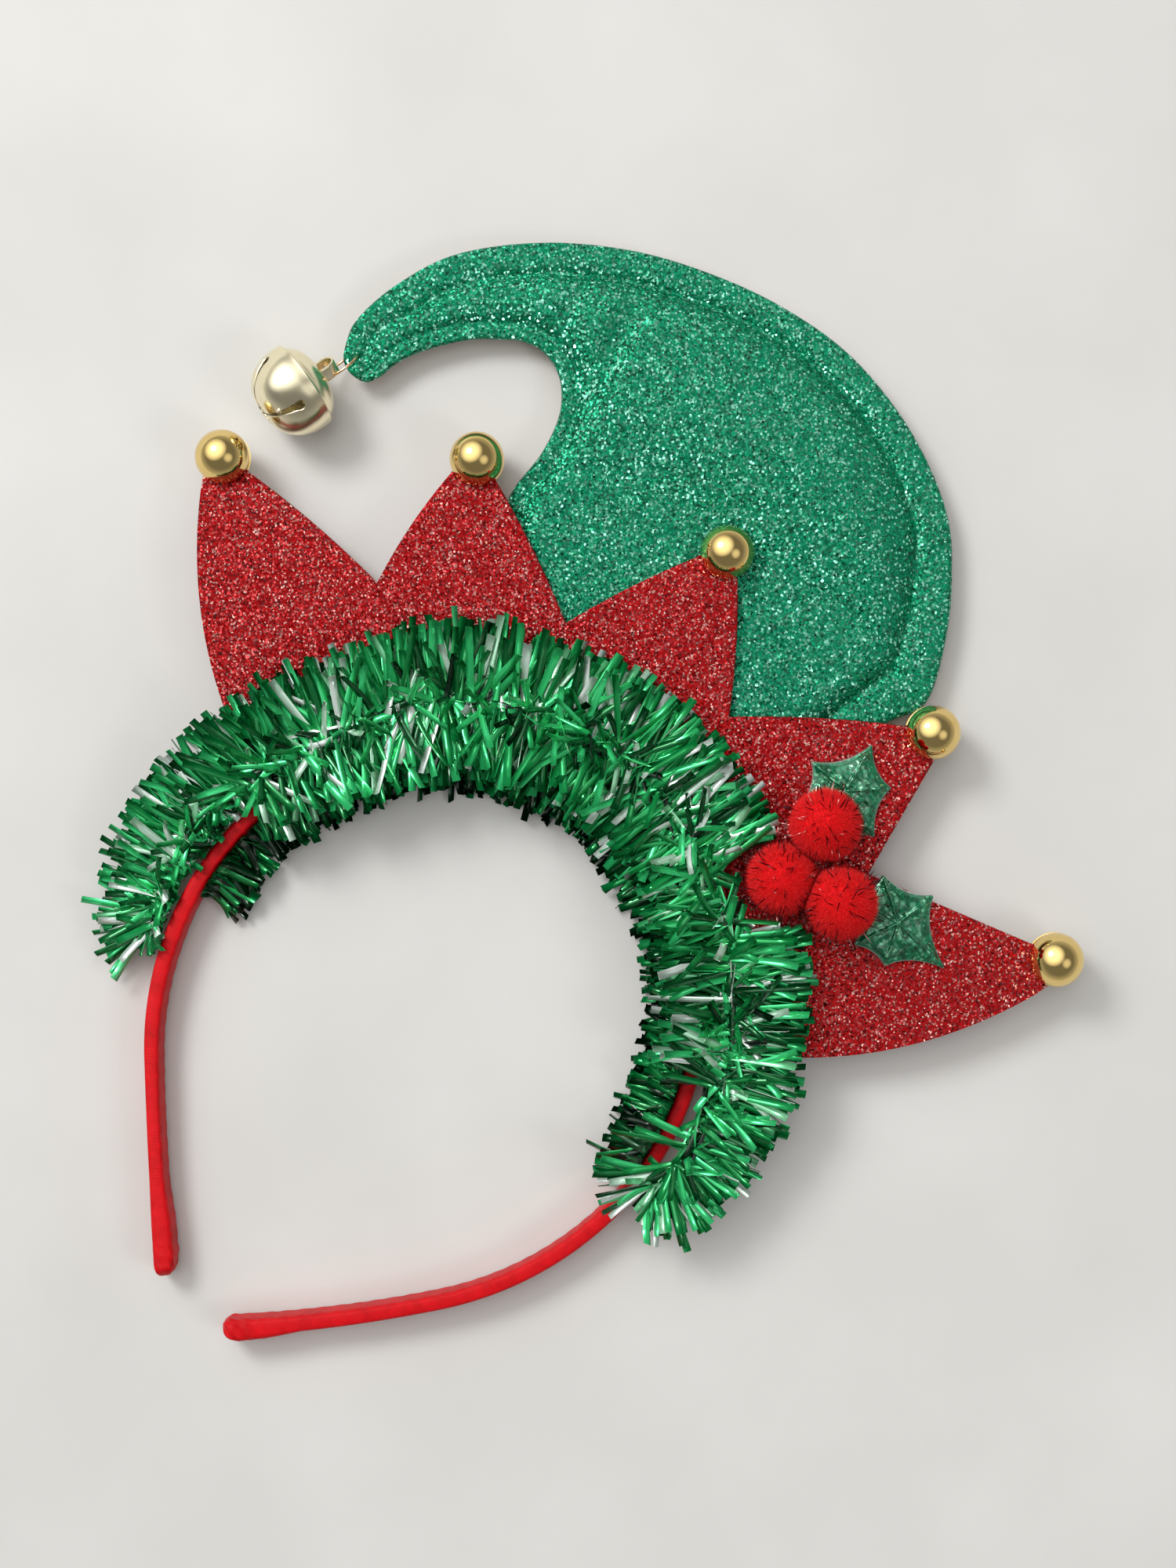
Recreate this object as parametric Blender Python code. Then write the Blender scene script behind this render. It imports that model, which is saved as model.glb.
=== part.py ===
"""Elf hat headband, laid flat on a table with its front up.

A satin covered band carries a foil garland, a zigzag brim of glitter foam with gold beads on
its five points, a padded horn hat with a jingle bell on its tip, and a sprig of holly.
Metres, +Z up. X runs across the head and +Y from the open ends to the crown of the band.
"""
import math
from collections import namedtuple

import bmesh
import bpy
import numpy as np
from mathutils import Matrix, Vector

# Clearance between pieces that touch
GAP = 0.0003

# Headband: a flat strip bent on edge, as arcs that follow each other
BAND_LENGTH = 0.430
BAND_WIDTH = 0.010
BAND_THICKNESS = 0.004
BAND_EDGE_ROUND = 0.0009
BAND_TIP_BULGE = 0.0012
BAND_START_HEADING = 125.5
CROWN_SIDE = -0.005
BandArc = namedtuple("BandArc", "length_share turn_degrees")
BAND_ARCS = (
    BandArc(0.125, -3.0),
    BandArc(0.125, -39.0),
    BandArc(0.125, -43.0),
    BandArc(0.125, -50.0),
    BandArc(0.125, -48.0),
    BandArc(0.125, -43.0),
    BandArc(0.125, -37.0),
    BandArc(0.125, -9.0),
)

# Brim: a fan of glitter foam lying on the band's front edge
BRIM_RADIUS = 0.117
BRIM_HEIGHT = 0.065
BRIM_THICKNESS = 0.002
BRIM_TIP_WIDTH = 0.0114
BRIM_TIP_DROP = 0.0045
BRIM_TIP_BOW = 0.53
BRIM_LEFT_SHARE = 0.292
BRIM_RIGHT_SHARE = 0.655
BRIM_EDGE_STEPS = 6
BrimPoint = namedtuple("BrimPoint", "angle_degrees height_share edge_bow back_dome")
BRIM_POINTS = (
    BrimPoint(-40.3, 1.0, 0.09, True),
    BrimPoint(-27.9, 0.5, 0.02, False),
    BrimPoint(-20.8, 1.0, 0.03, True),
    BrimPoint(-9.9, 0.5, 0.02, False),
    BrimPoint(-0.3, 1.0, 0.02, False),
    BrimPoint(7.7, 0.5, 0.02, False),
    BrimPoint(20.7, 1.0, 0.02, True),
    BrimPoint(27.3, 0.5, 0.0, False),
    BrimPoint(40.5, 1.0, 0.0, True),
)
BRIM_END_BOW = 0.10

# Beads: two half domes clipped over each point of the brim
BEAD_RADIUS = 0.0066
BEAD_BACK_DEPTH = 0.0058
BEAD_SIDES = 16
BEAD_RINGS = 4

# Hat: a padded horn between an outer and an inner edge
HAT_WIDTH = 0.168
HAT_HEIGHT = 0.124
HAT_SEAM_HEIGHT = 0.0065
HAT_SEAM_THICKNESS = 0.0024
HAT_FRONT_PUFF = 0.0062
HAT_BACK_PUFF = 0.0080
HAT_PUFF_RUN = 0.0085
HAT_OUTER_BORDER = 0.0075
HAT_INNER_BORDER = 0.0042
HAT_BASE_BORDER = 0.003
HAT_BASE_LEFT_SHARE = 0.405
HAT_BASE_RIGHT_SHARE = 0.552
HAT_CREASE_DEPTH = 0.0022
HAT_CREASE_WIDTH = 0.007
HAT_RISE_RUN = 0.026
HAT_ROW_STEPS = 2
TuckRow = namedtuple("TuckRow", "outer_degrees outer_share inner_degrees inner_share")
HAT_TUCK_ROWS = (
    TuckRow(16.2, 0.710, -17.7, 0.530),
    TuckRow(18.4, 1.062, -17.8, 0.903),
)
HatRow = namedtuple("HatRow", "outer_x outer_y inner_x inner_y")
HAT_ROWS = (
    HatRow(0.335, 0.595, -0.312, 0.506),
    HatRow(0.297, 0.707, -0.317, 0.583),
    HatRow(0.238, 0.820, -0.334, 0.634),
    HatRow(0.132, 0.921, -0.358, 0.666),
    HatRow(0.004, 0.986, -0.389, 0.681),
    HatRow(-0.122, 1.000, -0.420, 0.677),
    HatRow(-0.245, 0.981, -0.449, 0.658),
    HatRow(-0.358, 0.939, -0.485, 0.628),
    HatRow(-0.470, 0.864, -0.518, 0.587),
    HatRow(-0.568, 0.757, -0.545, 0.545),
    HatRow(-0.621, 0.640, -0.562, 0.506),
    HatRow(-0.643, 0.540, -0.570, 0.475),
    HatRow(-0.634, 0.482, -0.578, 0.458),
)
CreaseEnd = namedtuple("CreaseEnd", "x_share y_share")
HAT_CREASE = (CreaseEnd(-0.300, 0.850), CreaseEnd(-0.296, 0.640))
HAT_HOLE_X_SHARE = -0.615
HAT_HOLE_Y_SHARE = 0.484
HAT_HOLE_RADIUS = 0.0016
HAT_HOLE_SIDES = 10

# Jump ring and jingle bell
RING_RADIUS = 0.0045
RING_WIRE = 0.0009
RING_LEAN = 14.0
RING_SIDES = 20
RING_WIRE_SIDES = 6
BELL_RADIUS = 0.0106
BELL_CAP_HEIGHT = 0.0074
BELL_PETAL_HEIGHT = 0.0090
BELL_WALL = 0.0008
BELL_FLAT = 0.09
BELL_SLOT_WIDTH = 0.0016
BELL_SLOT_ROUND = 0.0014
BELL_SLOT_END = 0.0012
BELL_HEADING = 247.0
BELL_DIP = 8.0
BELL_SIDES = 24
BELL_RINGS = 7
LOOP_RADIUS = 0.0024
LOOP_THICKNESS = 0.0008
LOOP_WIDTH = 0.0024
LOOP_LENGTH = 0.0020
LOOP_STEPS = 6
PELLET_RADIUS = 0.0024

# Foil garland: a twisted core with strands, as a body with locks on its free sides
GARLAND_RADIUS = 0.0105
GARLAND_FLATTEN = 0.80
GARLAND_LOCK = 0.0075
GARLAND_LOCK_TAPER = 0.35
GARLAND_HANG_REACH = 0.0075
GARLAND_STEPS = 52
GARLAND_BAND_GAP = 0.0006
GARLAND_POMPOM_GAP = 0.0010
GarlandRow = namedtuple("GarlandRow", "length_share core_side core_rise inner_face seat hang")
GARLAND_ROWS = (
    GarlandRow(0.186, 0.45, 0.60, 1.0, 0.0, 0.0),
    GarlandRow(0.200, 0.60, 0.75, 1.0, 0.0, 0.0),
    GarlandRow(0.258, 0.75, 0.85, 1.0, 0.0, 0.0),
    GarlandRow(0.274, 0.75, 0.45, 1.0, 1.0, 0.0),
    GarlandRow(0.288, 0.50, 0.45, -1.0, 1.2, 0.0),
    GarlandRow(0.302, 0.45, 0.45, -1.0, 1.2, 0.6),
    GarlandRow(0.345, 0.55, 0.45, -1.0, 1.2, 0.8),
    GarlandRow(0.400, 0.85, 0.45, -1.0, 1.2, 0.9),
    GarlandRow(0.500, 0.95, 0.45, -1.0, 1.2, 0.9),
    GarlandRow(0.600, 0.75, 0.45, -1.0, 1.2, 0.9),
    GarlandRow(0.668, 0.60, 0.45, -1.0, 1.2, 0.8),
    GarlandRow(0.690, 0.50, 0.45, -1.0, 1.0, 0.7),
    GarlandRow(0.722, 0.35, 0.45, -1.0, 1.0, 0.6),
    GarlandRow(0.735, 0.30, 0.45, -1.0, 1.0, 0.4),
)
SectionPoint = namedtuple("SectionPoint", "across up")
GARLAND_ARC = (
    SectionPoint(-0.98, 0.20),
    SectionPoint(-0.80, 0.62),
    SectionPoint(-0.36, 0.94),
    SectionPoint(0.12, 1.00),
    SectionPoint(0.55, 0.84),
    SectionPoint(0.87, 0.50),
    SectionPoint(1.00, 0.05),
)

# Pompoms and holly leaves on the brim
POMPOM_RADIUS = 0.0078
POMPOM_LOCK = 0.0016
POMPOM_SIDES = 12
POMPOM_RINGS = 7
SprigPlace = namedtuple("SprigPlace", "angle_degrees height_share on_leaf")
POMPOMS = (
    SprigPlace(20.9, 0.460, True),
    SprigPlace(22.7, 0.216, False),
    SprigPlace(27.9, 0.344, True),
)
LEAF_REACH = 0.0164
LEAF_THICKNESS = 0.0014
LEAF_PUFF = 0.0010
LEAF_EDGE_STEPS = 4
LEAF_BITE = 0.20
LEAF_RIM_SHARE = 0.80
LEAF_PLACES = (SprigPlace(19.9, 0.605, False), SprigPlace(32.5, 0.504, False))
LeafLobe = namedtuple("LeafLobe", "heading_degrees reach_share")
LEAF_LOBES = (
    (LeafLobe(169, 0.68), LeafLobe(91, 0.82), LeafLobe(35, 0.70),
     LeafLobe(-26, 0.82), LeafLobe(-79, 0.82), LeafLobe(-134, 0.68)),
    (LeafLobe(179, 0.73), LeafLobe(138, 0.76), LeafLobe(68, 0.69),
     LeafLobe(-13, 1.00), LeafLobe(-75, 0.68), LeafLobe(-122, 0.73)),
)


def clear_scene():
    """Remove every object of the scene."""
    for old in list(bpy.data.objects):
        bpy.data.objects.remove(old, do_unlink=True)


def plain_material(name, colour, roughness, metallic):
    """A Principled material of one colour."""
    material = bpy.data.materials.new(name)
    material.use_nodes = True
    shader = material.node_tree.nodes["Principled BSDF"]
    shader.inputs["Base Color"].default_value = (*colour, 1.0)
    shader.inputs["Roughness"].default_value = roughness
    shader.inputs["Metallic"].default_value = metallic
    return material


def add_object(name, mesh, material, root, smooth_degrees=None):
    """Link a mesh as a named object under the root, smooth where an angle is given."""
    piece = bpy.data.objects.new(name, mesh)
    bpy.context.collection.objects.link(piece)
    piece.parent = root
    mesh.materials.append(material)
    if smooth_degrees is not None:
        mesh.shade_smooth()
        mesh.set_sharp_from_angle(angle=math.radians(smooth_degrees))
    return piece


def mesh_of(name, points, faces):
    """A mesh of points and faces with its normals pointing out."""
    mesh = bpy.data.meshes.new(name)
    mesh.from_pydata([tuple(point) for point in points], [], faces)
    shape = bmesh.new()
    shape.from_mesh(mesh)
    bmesh.ops.recalc_face_normals(shape, faces=shape.faces)
    shape.to_mesh(mesh)
    shape.free()
    return mesh


def lofted(name, rings):
    """A closed body through rings of equally many points, with a flat cap at each end."""
    count, sides = rings.shape[:2]
    faces = []
    for row in range(count - 1):
        for side in range(sides):
            after = (side + 1) % sides
            faces.append((row * sides + side, row * sides + after,
                          (row + 1) * sides + after, (row + 1) * sides + side))
    faces.append(tuple(range(sides))[::-1])
    faces.append(tuple((count - 1) * sides + side for side in range(sides)))
    return mesh_of(name, rings.reshape(-1, 3), faces)


def lathe(name, radii, heights, sides):
    """A turned body: poles where a radius is 0, rings elsewhere, its last ring closed flat."""
    angles = np.linspace(0, 2 * math.pi, sides, endpoint=False)
    points = []
    rows = []
    for radius, height in zip(radii, heights):
        if radius == 0:
            rows.append([len(points)] * sides)
            points.append((0, 0, height))
        else:
            rows.append([len(points) + side for side in range(sides)])
            points += [(radius * math.cos(a), radius * math.sin(a), height) for a in angles]
    faces = []
    for row, above in zip(rows, rows[1:]):
        for side in range(sides):
            after = (side + 1) % sides
            corners = dict.fromkeys((row[side], row[after], above[after], above[side]))
            faces.append(tuple(corners))
    for row in (rows[0], rows[-1]):
        if row[0] != row[1]:
            faces.append(tuple(row))
    return mesh_of(name, points, faces)


def cut(piece, cutters, operation="DIFFERENCE"):
    """Add one Boolean for each cutter, and keep the cutters out of sight."""
    for cutter in cutters:
        boolean = piece.modifiers.new(cutter.name, "BOOLEAN")
        boolean.operation = operation
        boolean.object = cutter
        cutter.hide_render = True
        cutter.display_type = "WIRE"


def band_line(shares, side=0.0):
    """Points beside the band's centre line, with the outward normals there.

    The heading turns evenly along each arc, and its direction is summed along the length.
    The line is then moved so that its highest point is the crown.
    """
    knots = np.cumsum([0.0] + [arc.length_share for arc in BAND_ARCS])
    turned = np.cumsum([0.0] + [arc.turn_degrees for arc in BAND_ARCS])
    fine = np.linspace(0.0, 1.0, 1601)
    heading = np.radians(BAND_START_HEADING + np.interp(fine, knots, turned))
    step = BAND_LENGTH / (len(fine) - 1)
    along = np.stack([np.cos(heading), np.sin(heading)], axis=1)
    walked = np.cumsum((along[1:] + along[:-1]) * step / 2, axis=0)
    line = np.concatenate([[[0.0, 0.0]], walked])
    crown = line[line[:, 1].argmax()]
    line = line - crown + (CROWN_SIDE, 0.0)
    shares = np.atleast_1d(shares)
    points = np.stack([np.interp(shares, fine, line[:, axis]) for axis in (0, 1)], axis=1)
    angle = np.interp(shares, fine, heading)
    outward = np.stack([-np.sin(angle), np.cos(angle)], axis=1)
    return points + outward * np.reshape(side, (-1, 1)), outward


def sections_along_band(shares, across, heights):
    """Rings of a section carried along the band: across is outward from the centre line."""
    points, outward = band_line(shares)
    flat = points[:, None, :] + outward[:, None, :] * across[:, :, None]
    return np.concatenate([flat, heights[:, :, None]], axis=2)


def brim_seat():
    """Height of the brim's underside, on the band's front edge."""
    return BAND_WIDTH + GAP


def brim_top():
    """Height of the brim's front face."""
    return brim_seat() + BRIM_THICKNESS


def fan_point(angle_degrees, radius):
    """A point of the brim's fan, whose centre lies one brim radius below the crown."""
    angle = math.radians(angle_degrees)
    return np.array([radius * math.sin(angle), radius * math.cos(angle) - BRIM_RADIUS])


def fan_place(angle_degrees, height_share):
    """A point of the fan at a share of the brim's height beyond the crown."""
    return fan_point(angle_degrees, BRIM_RADIUS + BRIM_HEIGHT * height_share)


def bowed_edge(start, end, bow):
    """Points from start to just before end, bulging by a share of the edge's length."""
    t = np.linspace(0, 1, BRIM_EDGE_STEPS, endpoint=False)[:, None]
    run = end - start
    left = np.array([-run[1], run[0]])
    return start + run * t + left * bow * 4 * t * (1 - t)


def brim_outline():
    """The brim's outline: along the band's centre line, then round the zigzag.

    Each of its points ends blunt beside its bead, with a round tongue under the bead.
    """
    shares = np.linspace(BRIM_RIGHT_SHARE, BRIM_LEFT_SHARE, 25)
    seat, _ = band_line(shares)
    corners = [seat[-1]]
    bows = []
    for point in BRIM_POINTS:
        bows.append(point.edge_bow)
        if point.height_share == 1.0:
            middle = fan_point(point.angle_degrees, BRIM_RADIUS + BRIM_HEIGHT - BRIM_TIP_DROP)
            angle = math.radians(point.angle_degrees)
            aside = np.array([math.cos(angle), -math.sin(angle)]) * BRIM_TIP_WIDTH / 2
            corners += [middle - aside, middle + aside]
            bows.append(BRIM_TIP_BOW)
        else:
            corners.append(fan_place(point.angle_degrees, point.height_share))
    corners.append(seat[0])
    bows.append(BRIM_END_BOW)
    edges = [bowed_edge(a, b, bow) for a, b, bow in zip(corners, corners[1:], bows)]
    return np.concatenate([seat[:-1]] + edges)


def make_headband(material, root):
    """The band: a strip with rounded edges, swelling a little at its covered ends."""
    shares = np.linspace(0, 1, 65)
    half = BAND_THICKNESS / 2
    edge = BAND_EDGE_ROUND
    across = np.array([half, half, half - edge, edge - half, -half, -half, edge - half, half - edge])
    heights = np.array([edge, BAND_WIDTH - edge, BAND_WIDTH, BAND_WIDTH,
                        BAND_WIDTH - edge, edge, 0, 0])
    from_end = np.minimum(shares, 1 - shares) * BAND_LENGTH
    swell = 1 + BAND_TIP_BULGE / BAND_THICKNESS * np.exp(-from_end / BAND_WIDTH)
    rings = sections_along_band(shares, across * swell[:, None], np.tile(heights, (65, 1)))
    return add_object("headband", lofted("headband", rings), material, root, 40)


def make_brim(material, root):
    """The foam sheet: its outline filled and extruded by its thickness."""
    outline = brim_outline()
    shape = bmesh.new()
    corners = [shape.verts.new((x, y, brim_seat())) for x, y in outline]
    sheet = shape.faces.new(corners)
    raised = bmesh.ops.extrude_face_region(shape, geom=[sheet])
    lifted = [item for item in raised["geom"] if isinstance(item, bmesh.types.BMVert)]
    bmesh.ops.translate(shape, verts=lifted, vec=(0, 0, BRIM_THICKNESS))
    bmesh.ops.recalc_face_normals(shape, faces=shape.faces)
    mesh = bpy.data.meshes.new("brim")
    shape.to_mesh(mesh)
    shape.free()
    return add_object("brim", mesh, material, root)


def make_beads(material, root):
    """A half dome on the front of each point, and on the back where the hat leaves it room."""
    turn = np.linspace(0, math.pi / 2, BEAD_RINGS + 1)
    radii = list(BEAD_RADIUS * np.cos(turn[:-1])) + [0]
    tips = [point for point in BRIM_POINTS if point.height_share == 1.0]
    for number, tip in enumerate(tips):
        x, y = fan_place(tip.angle_degrees, tip.height_share)
        front = lathe("bead", radii, BEAD_RADIUS * np.sin(turn), BEAD_SIDES)
        dome = add_object(f"bead_front_{number + 1}", front, material, root, 50)
        dome.location = (x, y, brim_top() + GAP)
        if tip.back_dome:
            back = lathe("bead", radii, -BEAD_BACK_DEPTH * np.sin(turn), BEAD_SIDES)
            dome = add_object(f"bead_back_{number + 1}", back, material, root, 50)
            dome.location = (x, y, brim_seat() - GAP)


def hat_edges():
    """The horn's outer and inner edges from its base to its tip, smooth through the rows."""
    base, _ = band_line([HAT_BASE_RIGHT_SHARE, HAT_BASE_LEFT_SHARE], BAND_THICKNESS / 2 + GAP)
    rows = [[*base[0], *base[1]]]
    rows += [[*fan_place(row.outer_degrees, row.outer_share),
              *fan_place(row.inner_degrees, row.inner_share)] for row in HAT_TUCK_ROWS]
    size = np.array([HAT_WIDTH, HAT_HEIGHT, HAT_WIDTH, HAT_HEIGHT])
    rows += [np.array(row) * size for row in HAT_ROWS]
    rows = np.array(rows)
    before = np.concatenate([rows[:1], rows[:-1]])
    after = np.concatenate([rows[1:], rows[-1:]])
    slope = (after - before) / 2
    smooth = []
    for row in range(len(rows) - 1):
        for t in np.arange(HAT_ROW_STEPS) / HAT_ROW_STEPS:
            smooth.append(rows[row] * (1 + 2 * t) * (1 - t) ** 2 + slope[row] * t * (1 - t) ** 2
                          + rows[row + 1] * t * t * (3 - 2 * t) + slope[row + 1] * t * t * (t - 1))
    smooth = np.array(smooth + [rows[-1]])
    return smooth[:, :2], smooth[:, 2:]


def distance_to_line(points, line):
    """Shortest distance from each point to a line through many points."""
    start, end = line[:-1], line[1:]
    run = end - start
    offset = points[..., None, :] - start
    share = (offset * run).sum(-1) / np.maximum((run * run).sum(-1), 1e-12)
    nearest = offset - np.clip(share, 0, 1)[..., None] * run
    return np.sqrt((nearest ** 2).sum(-1)).min(-1)


def hat_grid():
    """Points across the horn on each row: close to the seams, then even between them."""
    outer, inner = hat_edges()
    width = np.sqrt(((inner - outer) ** 2).sum(1))
    narrow = np.minimum(1, width / (3.2 * (HAT_OUTER_BORDER + HAT_INNER_BORDER)))[:, None]
    near_outer = np.array([0, 0.6, 1.0, 1.25, 1.9, 2.8]) * HAT_OUTER_BORDER * narrow
    near_inner = np.array([2.9, 1.9, 1.3, 1.0, 0.5, 0]) * HAT_INNER_BORDER * narrow
    first, last = near_outer[:, -1:], width[:, None] - near_inner[:, :1]
    middle = first + (last - first) * np.linspace(0, 1, 6)[1:-1]
    reach = np.concatenate([near_outer, middle, width[:, None] - near_inner], axis=1)
    share = (reach / width[:, None])[..., None]
    grid = outer[:, None] * (1 - share) + inner[:, None] * share
    along = HAT_BASE_RIGHT_SHARE + (HAT_BASE_LEFT_SHARE - HAT_BASE_RIGHT_SHARE) * share[0, :, 0]
    grid[0], _ = band_line(along, BAND_THICKNESS / 2 + GAP)
    return grid, outer, inner


def hat_puff(grid, outer, inner):
    """Share of the full padding at each point: none on the flat border, then rounding up."""
    from_outer = distance_to_line(grid, outer) - HAT_OUTER_BORDER
    from_inner = distance_to_line(grid, inner) - HAT_INNER_BORDER
    from_tip = distance_to_line(grid, np.array([outer[-1], inner[-1]])) - HAT_INNER_BORDER
    from_base = distance_to_line(grid, grid[0]) - HAT_BASE_BORDER
    puff = np.ones(grid.shape[:2])
    for distance in (from_outer, from_inner, from_tip, from_base):
        puff *= 1 - np.exp(-np.maximum(distance, 0) / HAT_PUFF_RUN)
    return puff


def hat_crease(grid):
    """Depth of the fold across the horn's neck, deepest on its line."""
    line = np.array([[end.x_share * HAT_WIDTH, end.y_share * HAT_HEIGHT] for end in HAT_CREASE])
    away = distance_to_line(grid, line)
    return HAT_CREASE_DEPTH * np.exp(-(away / HAT_CREASE_WIDTH) ** 2)


def hat_heights():
    """Front and back height of the horn over its grid.

    The front stays under the brim as far as the beads reach and rises beyond them, and the
    back is flattened where it lies on the table.
    """
    grid, outer, inner = hat_grid()
    puff = hat_puff(grid, outer, inner)
    half_seam = HAT_SEAM_THICKNESS / 2
    front = HAT_SEAM_HEIGHT + half_seam + (HAT_FRONT_PUFF - hat_crease(grid)) * puff
    back = HAT_SEAM_HEIGHT - half_seam - HAT_BACK_PUFF * puff
    centre = np.array([0, -BRIM_RADIUS])
    past = np.sqrt(((grid - centre) ** 2).sum(-1)) - (BRIM_RADIUS + BRIM_HEIGHT + BEAD_RADIUS)
    rise = np.clip(past / HAT_RISE_RUN, 0, 1)
    most = HAT_SEAM_HEIGHT + half_seam + HAT_FRONT_PUFF
    ceiling = BAND_WIDTH + (most - BAND_WIDTH) * rise
    return grid, np.minimum(front, ceiling), np.maximum(back, 0)


def make_hat(material, root):
    """The padded horn: a front and a back face over one grid, joined round the edge."""
    grid, front, back = hat_heights()
    rows, columns = grid.shape[:2]
    top = np.concatenate([grid, front[..., None]], axis=2).reshape(-1, 3)
    under = np.concatenate([grid, back[..., None]], axis=2).reshape(-1, 3)
    shift = rows * columns
    faces = []
    for row in range(rows - 1):
        for column in range(columns - 1):
            a = row * columns + column
            quad = (a, a + 1, a + columns + 1, a + columns)
            faces.append(quad)
            faces.append(tuple(corner + shift for corner in quad[::-1]))
    rim = [column for column in range(columns)]
    rim += [row * columns + columns - 1 for row in range(1, rows)]
    rim += [shift - 1 - column for column in range(1, columns)]
    rim += [row * columns for row in range(rows - 2, 0, -1)]
    for a, b in zip(rim, rim[1:] + rim[:1]):
        faces.append((a, b, b + shift, a + shift))
    mesh = mesh_of("hat", np.concatenate([top, under]), faces)
    hat = add_object("hat", mesh, material, root, 60)
    drill = lathe("ring_hole", [HAT_HOLE_RADIUS] * 2, [0, BAND_WIDTH * 2], HAT_HOLE_SIDES)
    hole = add_object("ring_hole_cutter", drill, material, root)
    hole.location = (*hat_hole(), HAT_SEAM_HEIGHT - BAND_WIDTH)
    cut(hat, [hole])
    return hat


def hat_hole():
    """Place of the jump ring's hole in the tip of the horn."""
    return np.array([HAT_HOLE_X_SHARE * HAT_WIDTH, HAT_HOLE_Y_SHARE * HAT_HEIGHT])


def bell_heading():
    """Unit direction on the table from the jump ring to the bell's slotted end."""
    angle = math.radians(BELL_HEADING)
    return np.array([math.cos(angle), math.sin(angle)])


def ring_place():
    """Centre of the jump ring, and its reach to either side at the height of what it joins.

    The ring stands through the hole of the hat's tip and through the bell's loop, with its
    centre half way between their heights.
    """
    loop_height = bell_height() - loop_reach() * math.sin(math.radians(BELL_DIP))
    height = (HAT_SEAM_HEIGHT + loop_height) / 2
    reach = math.sqrt(RING_RADIUS ** 2 - (height - HAT_SEAM_HEIGHT) ** 2)
    x, y = hat_hole() + bell_heading() * reach
    return Vector((x, y, height)), reach


def bell_profile(inset):
    """Radii and heights of half the bell's section, from the loop's end to the slots' end."""
    width = BELL_RADIUS - inset
    up = np.linspace(-math.pi / 2, 0, BELL_RINGS)
    down = np.linspace(0, math.pi / 2, BELL_RINGS)[1:]
    radii = np.concatenate([width * np.cos(up) ** 0.8, width * np.cos(down) ** 0.7])
    heights = np.concatenate([(BELL_CAP_HEIGHT - inset) * np.sin(up),
                              (BELL_PETAL_HEIGHT - inset) * np.sin(down)])
    radii[0] = radii[-1] = 0
    return radii, heights


def squared(mesh):
    """Press the bell's petals flatter on four sides, more towards the slots."""
    for vertex in mesh.vertices:
        x, y, z = vertex.co
        angle = math.atan2(y, x)
        press = BELL_FLAT * max(0, z / BELL_PETAL_HEIGHT) * (1 - math.cos(4 * angle)) / 2
        vertex.co = (x * (1 - press), y * (1 - press), z)


def make_bell(material, root):
    """The jingle bell: a hollow shell with crossed slots and a strap loop, on its side."""
    shell = lathe("bell", *bell_profile(0), BELL_SIDES)
    hollow = lathe("bell_hollow", *bell_profile(BELL_WALL), BELL_SIDES)
    for mesh in (shell, hollow):
        squared(mesh)
    bell = add_object("bell", shell, material, root, 35)
    place = Matrix.Translation(bell_place()) @ bell_turn()
    cutters = [add_object("bell_hollow_cutter", hollow, material, root)]
    reach = BELL_RADIUS * 1.2
    for number in range(2):
        angle = math.radians(45 + 90 * number)
        slot = slot_mesh(reach, Matrix.Rotation(angle, 4, "Z"))
        cutters.append(add_object(f"bell_slot_cutter_{number + 1}", slot, material, root))
    loop = add_object("bell_loop_cutter", loop_mesh(), material, root)
    for piece in [bell, loop] + cutters:
        piece.matrix_world = place
    cut(bell, [loop], "UNION")
    cut(bell, cutters)
    return bell


def slot_mesh(reach, turn):
    """A cutter through the bell's lower half: a thin blade with a round rod at its root."""
    half = BELL_SLOT_WIDTH / 2
    bulb = BELL_SLOT_ROUND
    low = BELL_SLOT_END
    top = BELL_PETAL_HEIGHT + bulb
    outline = [(half, top), (half, low + bulb), (bulb, low), (half, low - bulb),
               (-half, low - bulb), (-bulb, low), (-half, low + bulb), (-half, top)]
    rings = np.array([[(x, y, z) for x, z in outline] for y in (-reach, reach)])
    mesh = lofted("bell_slot", rings)
    mesh.transform(turn)
    return mesh


def loop_mesh():
    """The strap loop on the bell's cap: a U of flat strap whose hole looks up."""
    angles = np.linspace(0, math.pi, LOOP_STEPS + 1)
    foot = -BELL_CAP_HEIGHT + BELL_WALL * 0.9
    crest = -BELL_CAP_HEIGHT - LOOP_LENGTH
    rings = []
    inner, outer = LOOP_RADIUS - LOOP_THICKNESS, LOOP_RADIUS
    path = [(1, 0, foot)] + [(math.cos(a), math.sin(a), crest) for a in angles] + [(-1, 0, foot)]
    half = LOOP_WIDTH / 2
    for side, lift, height in path:
        near = (inner * side, height - inner * lift)
        far = (outer * side, height - outer * lift)
        rings.append([(-half, near[0], near[1]), (-half, far[0], far[1]),
                      (half, far[0], far[1]), (half, near[0], near[1])])
    return lofted("bell_loop", np.array(rings))


def bell_turn():
    """The bell's turn: its axis dips towards the loop, whose hole looks up."""
    heading = bell_heading()
    dip = math.radians(BELL_DIP)
    axis = Vector((heading[0] * math.cos(dip), heading[1] * math.cos(dip), math.sin(dip)))
    across = Vector((0, 0, 1)).cross(axis).normalized()
    return Matrix((axis.cross(across), -across, axis)).transposed().to_4x4()


def bell_height():
    """Height of the bell's centre, with its flank on the table."""
    probe = lathe("bell_probe", *bell_profile(0), BELL_SIDES)
    squared(probe)
    lowest = min((bell_turn() @ vertex.co).z for vertex in probe.vertices)
    bpy.data.meshes.remove(probe)
    return -lowest


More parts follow.
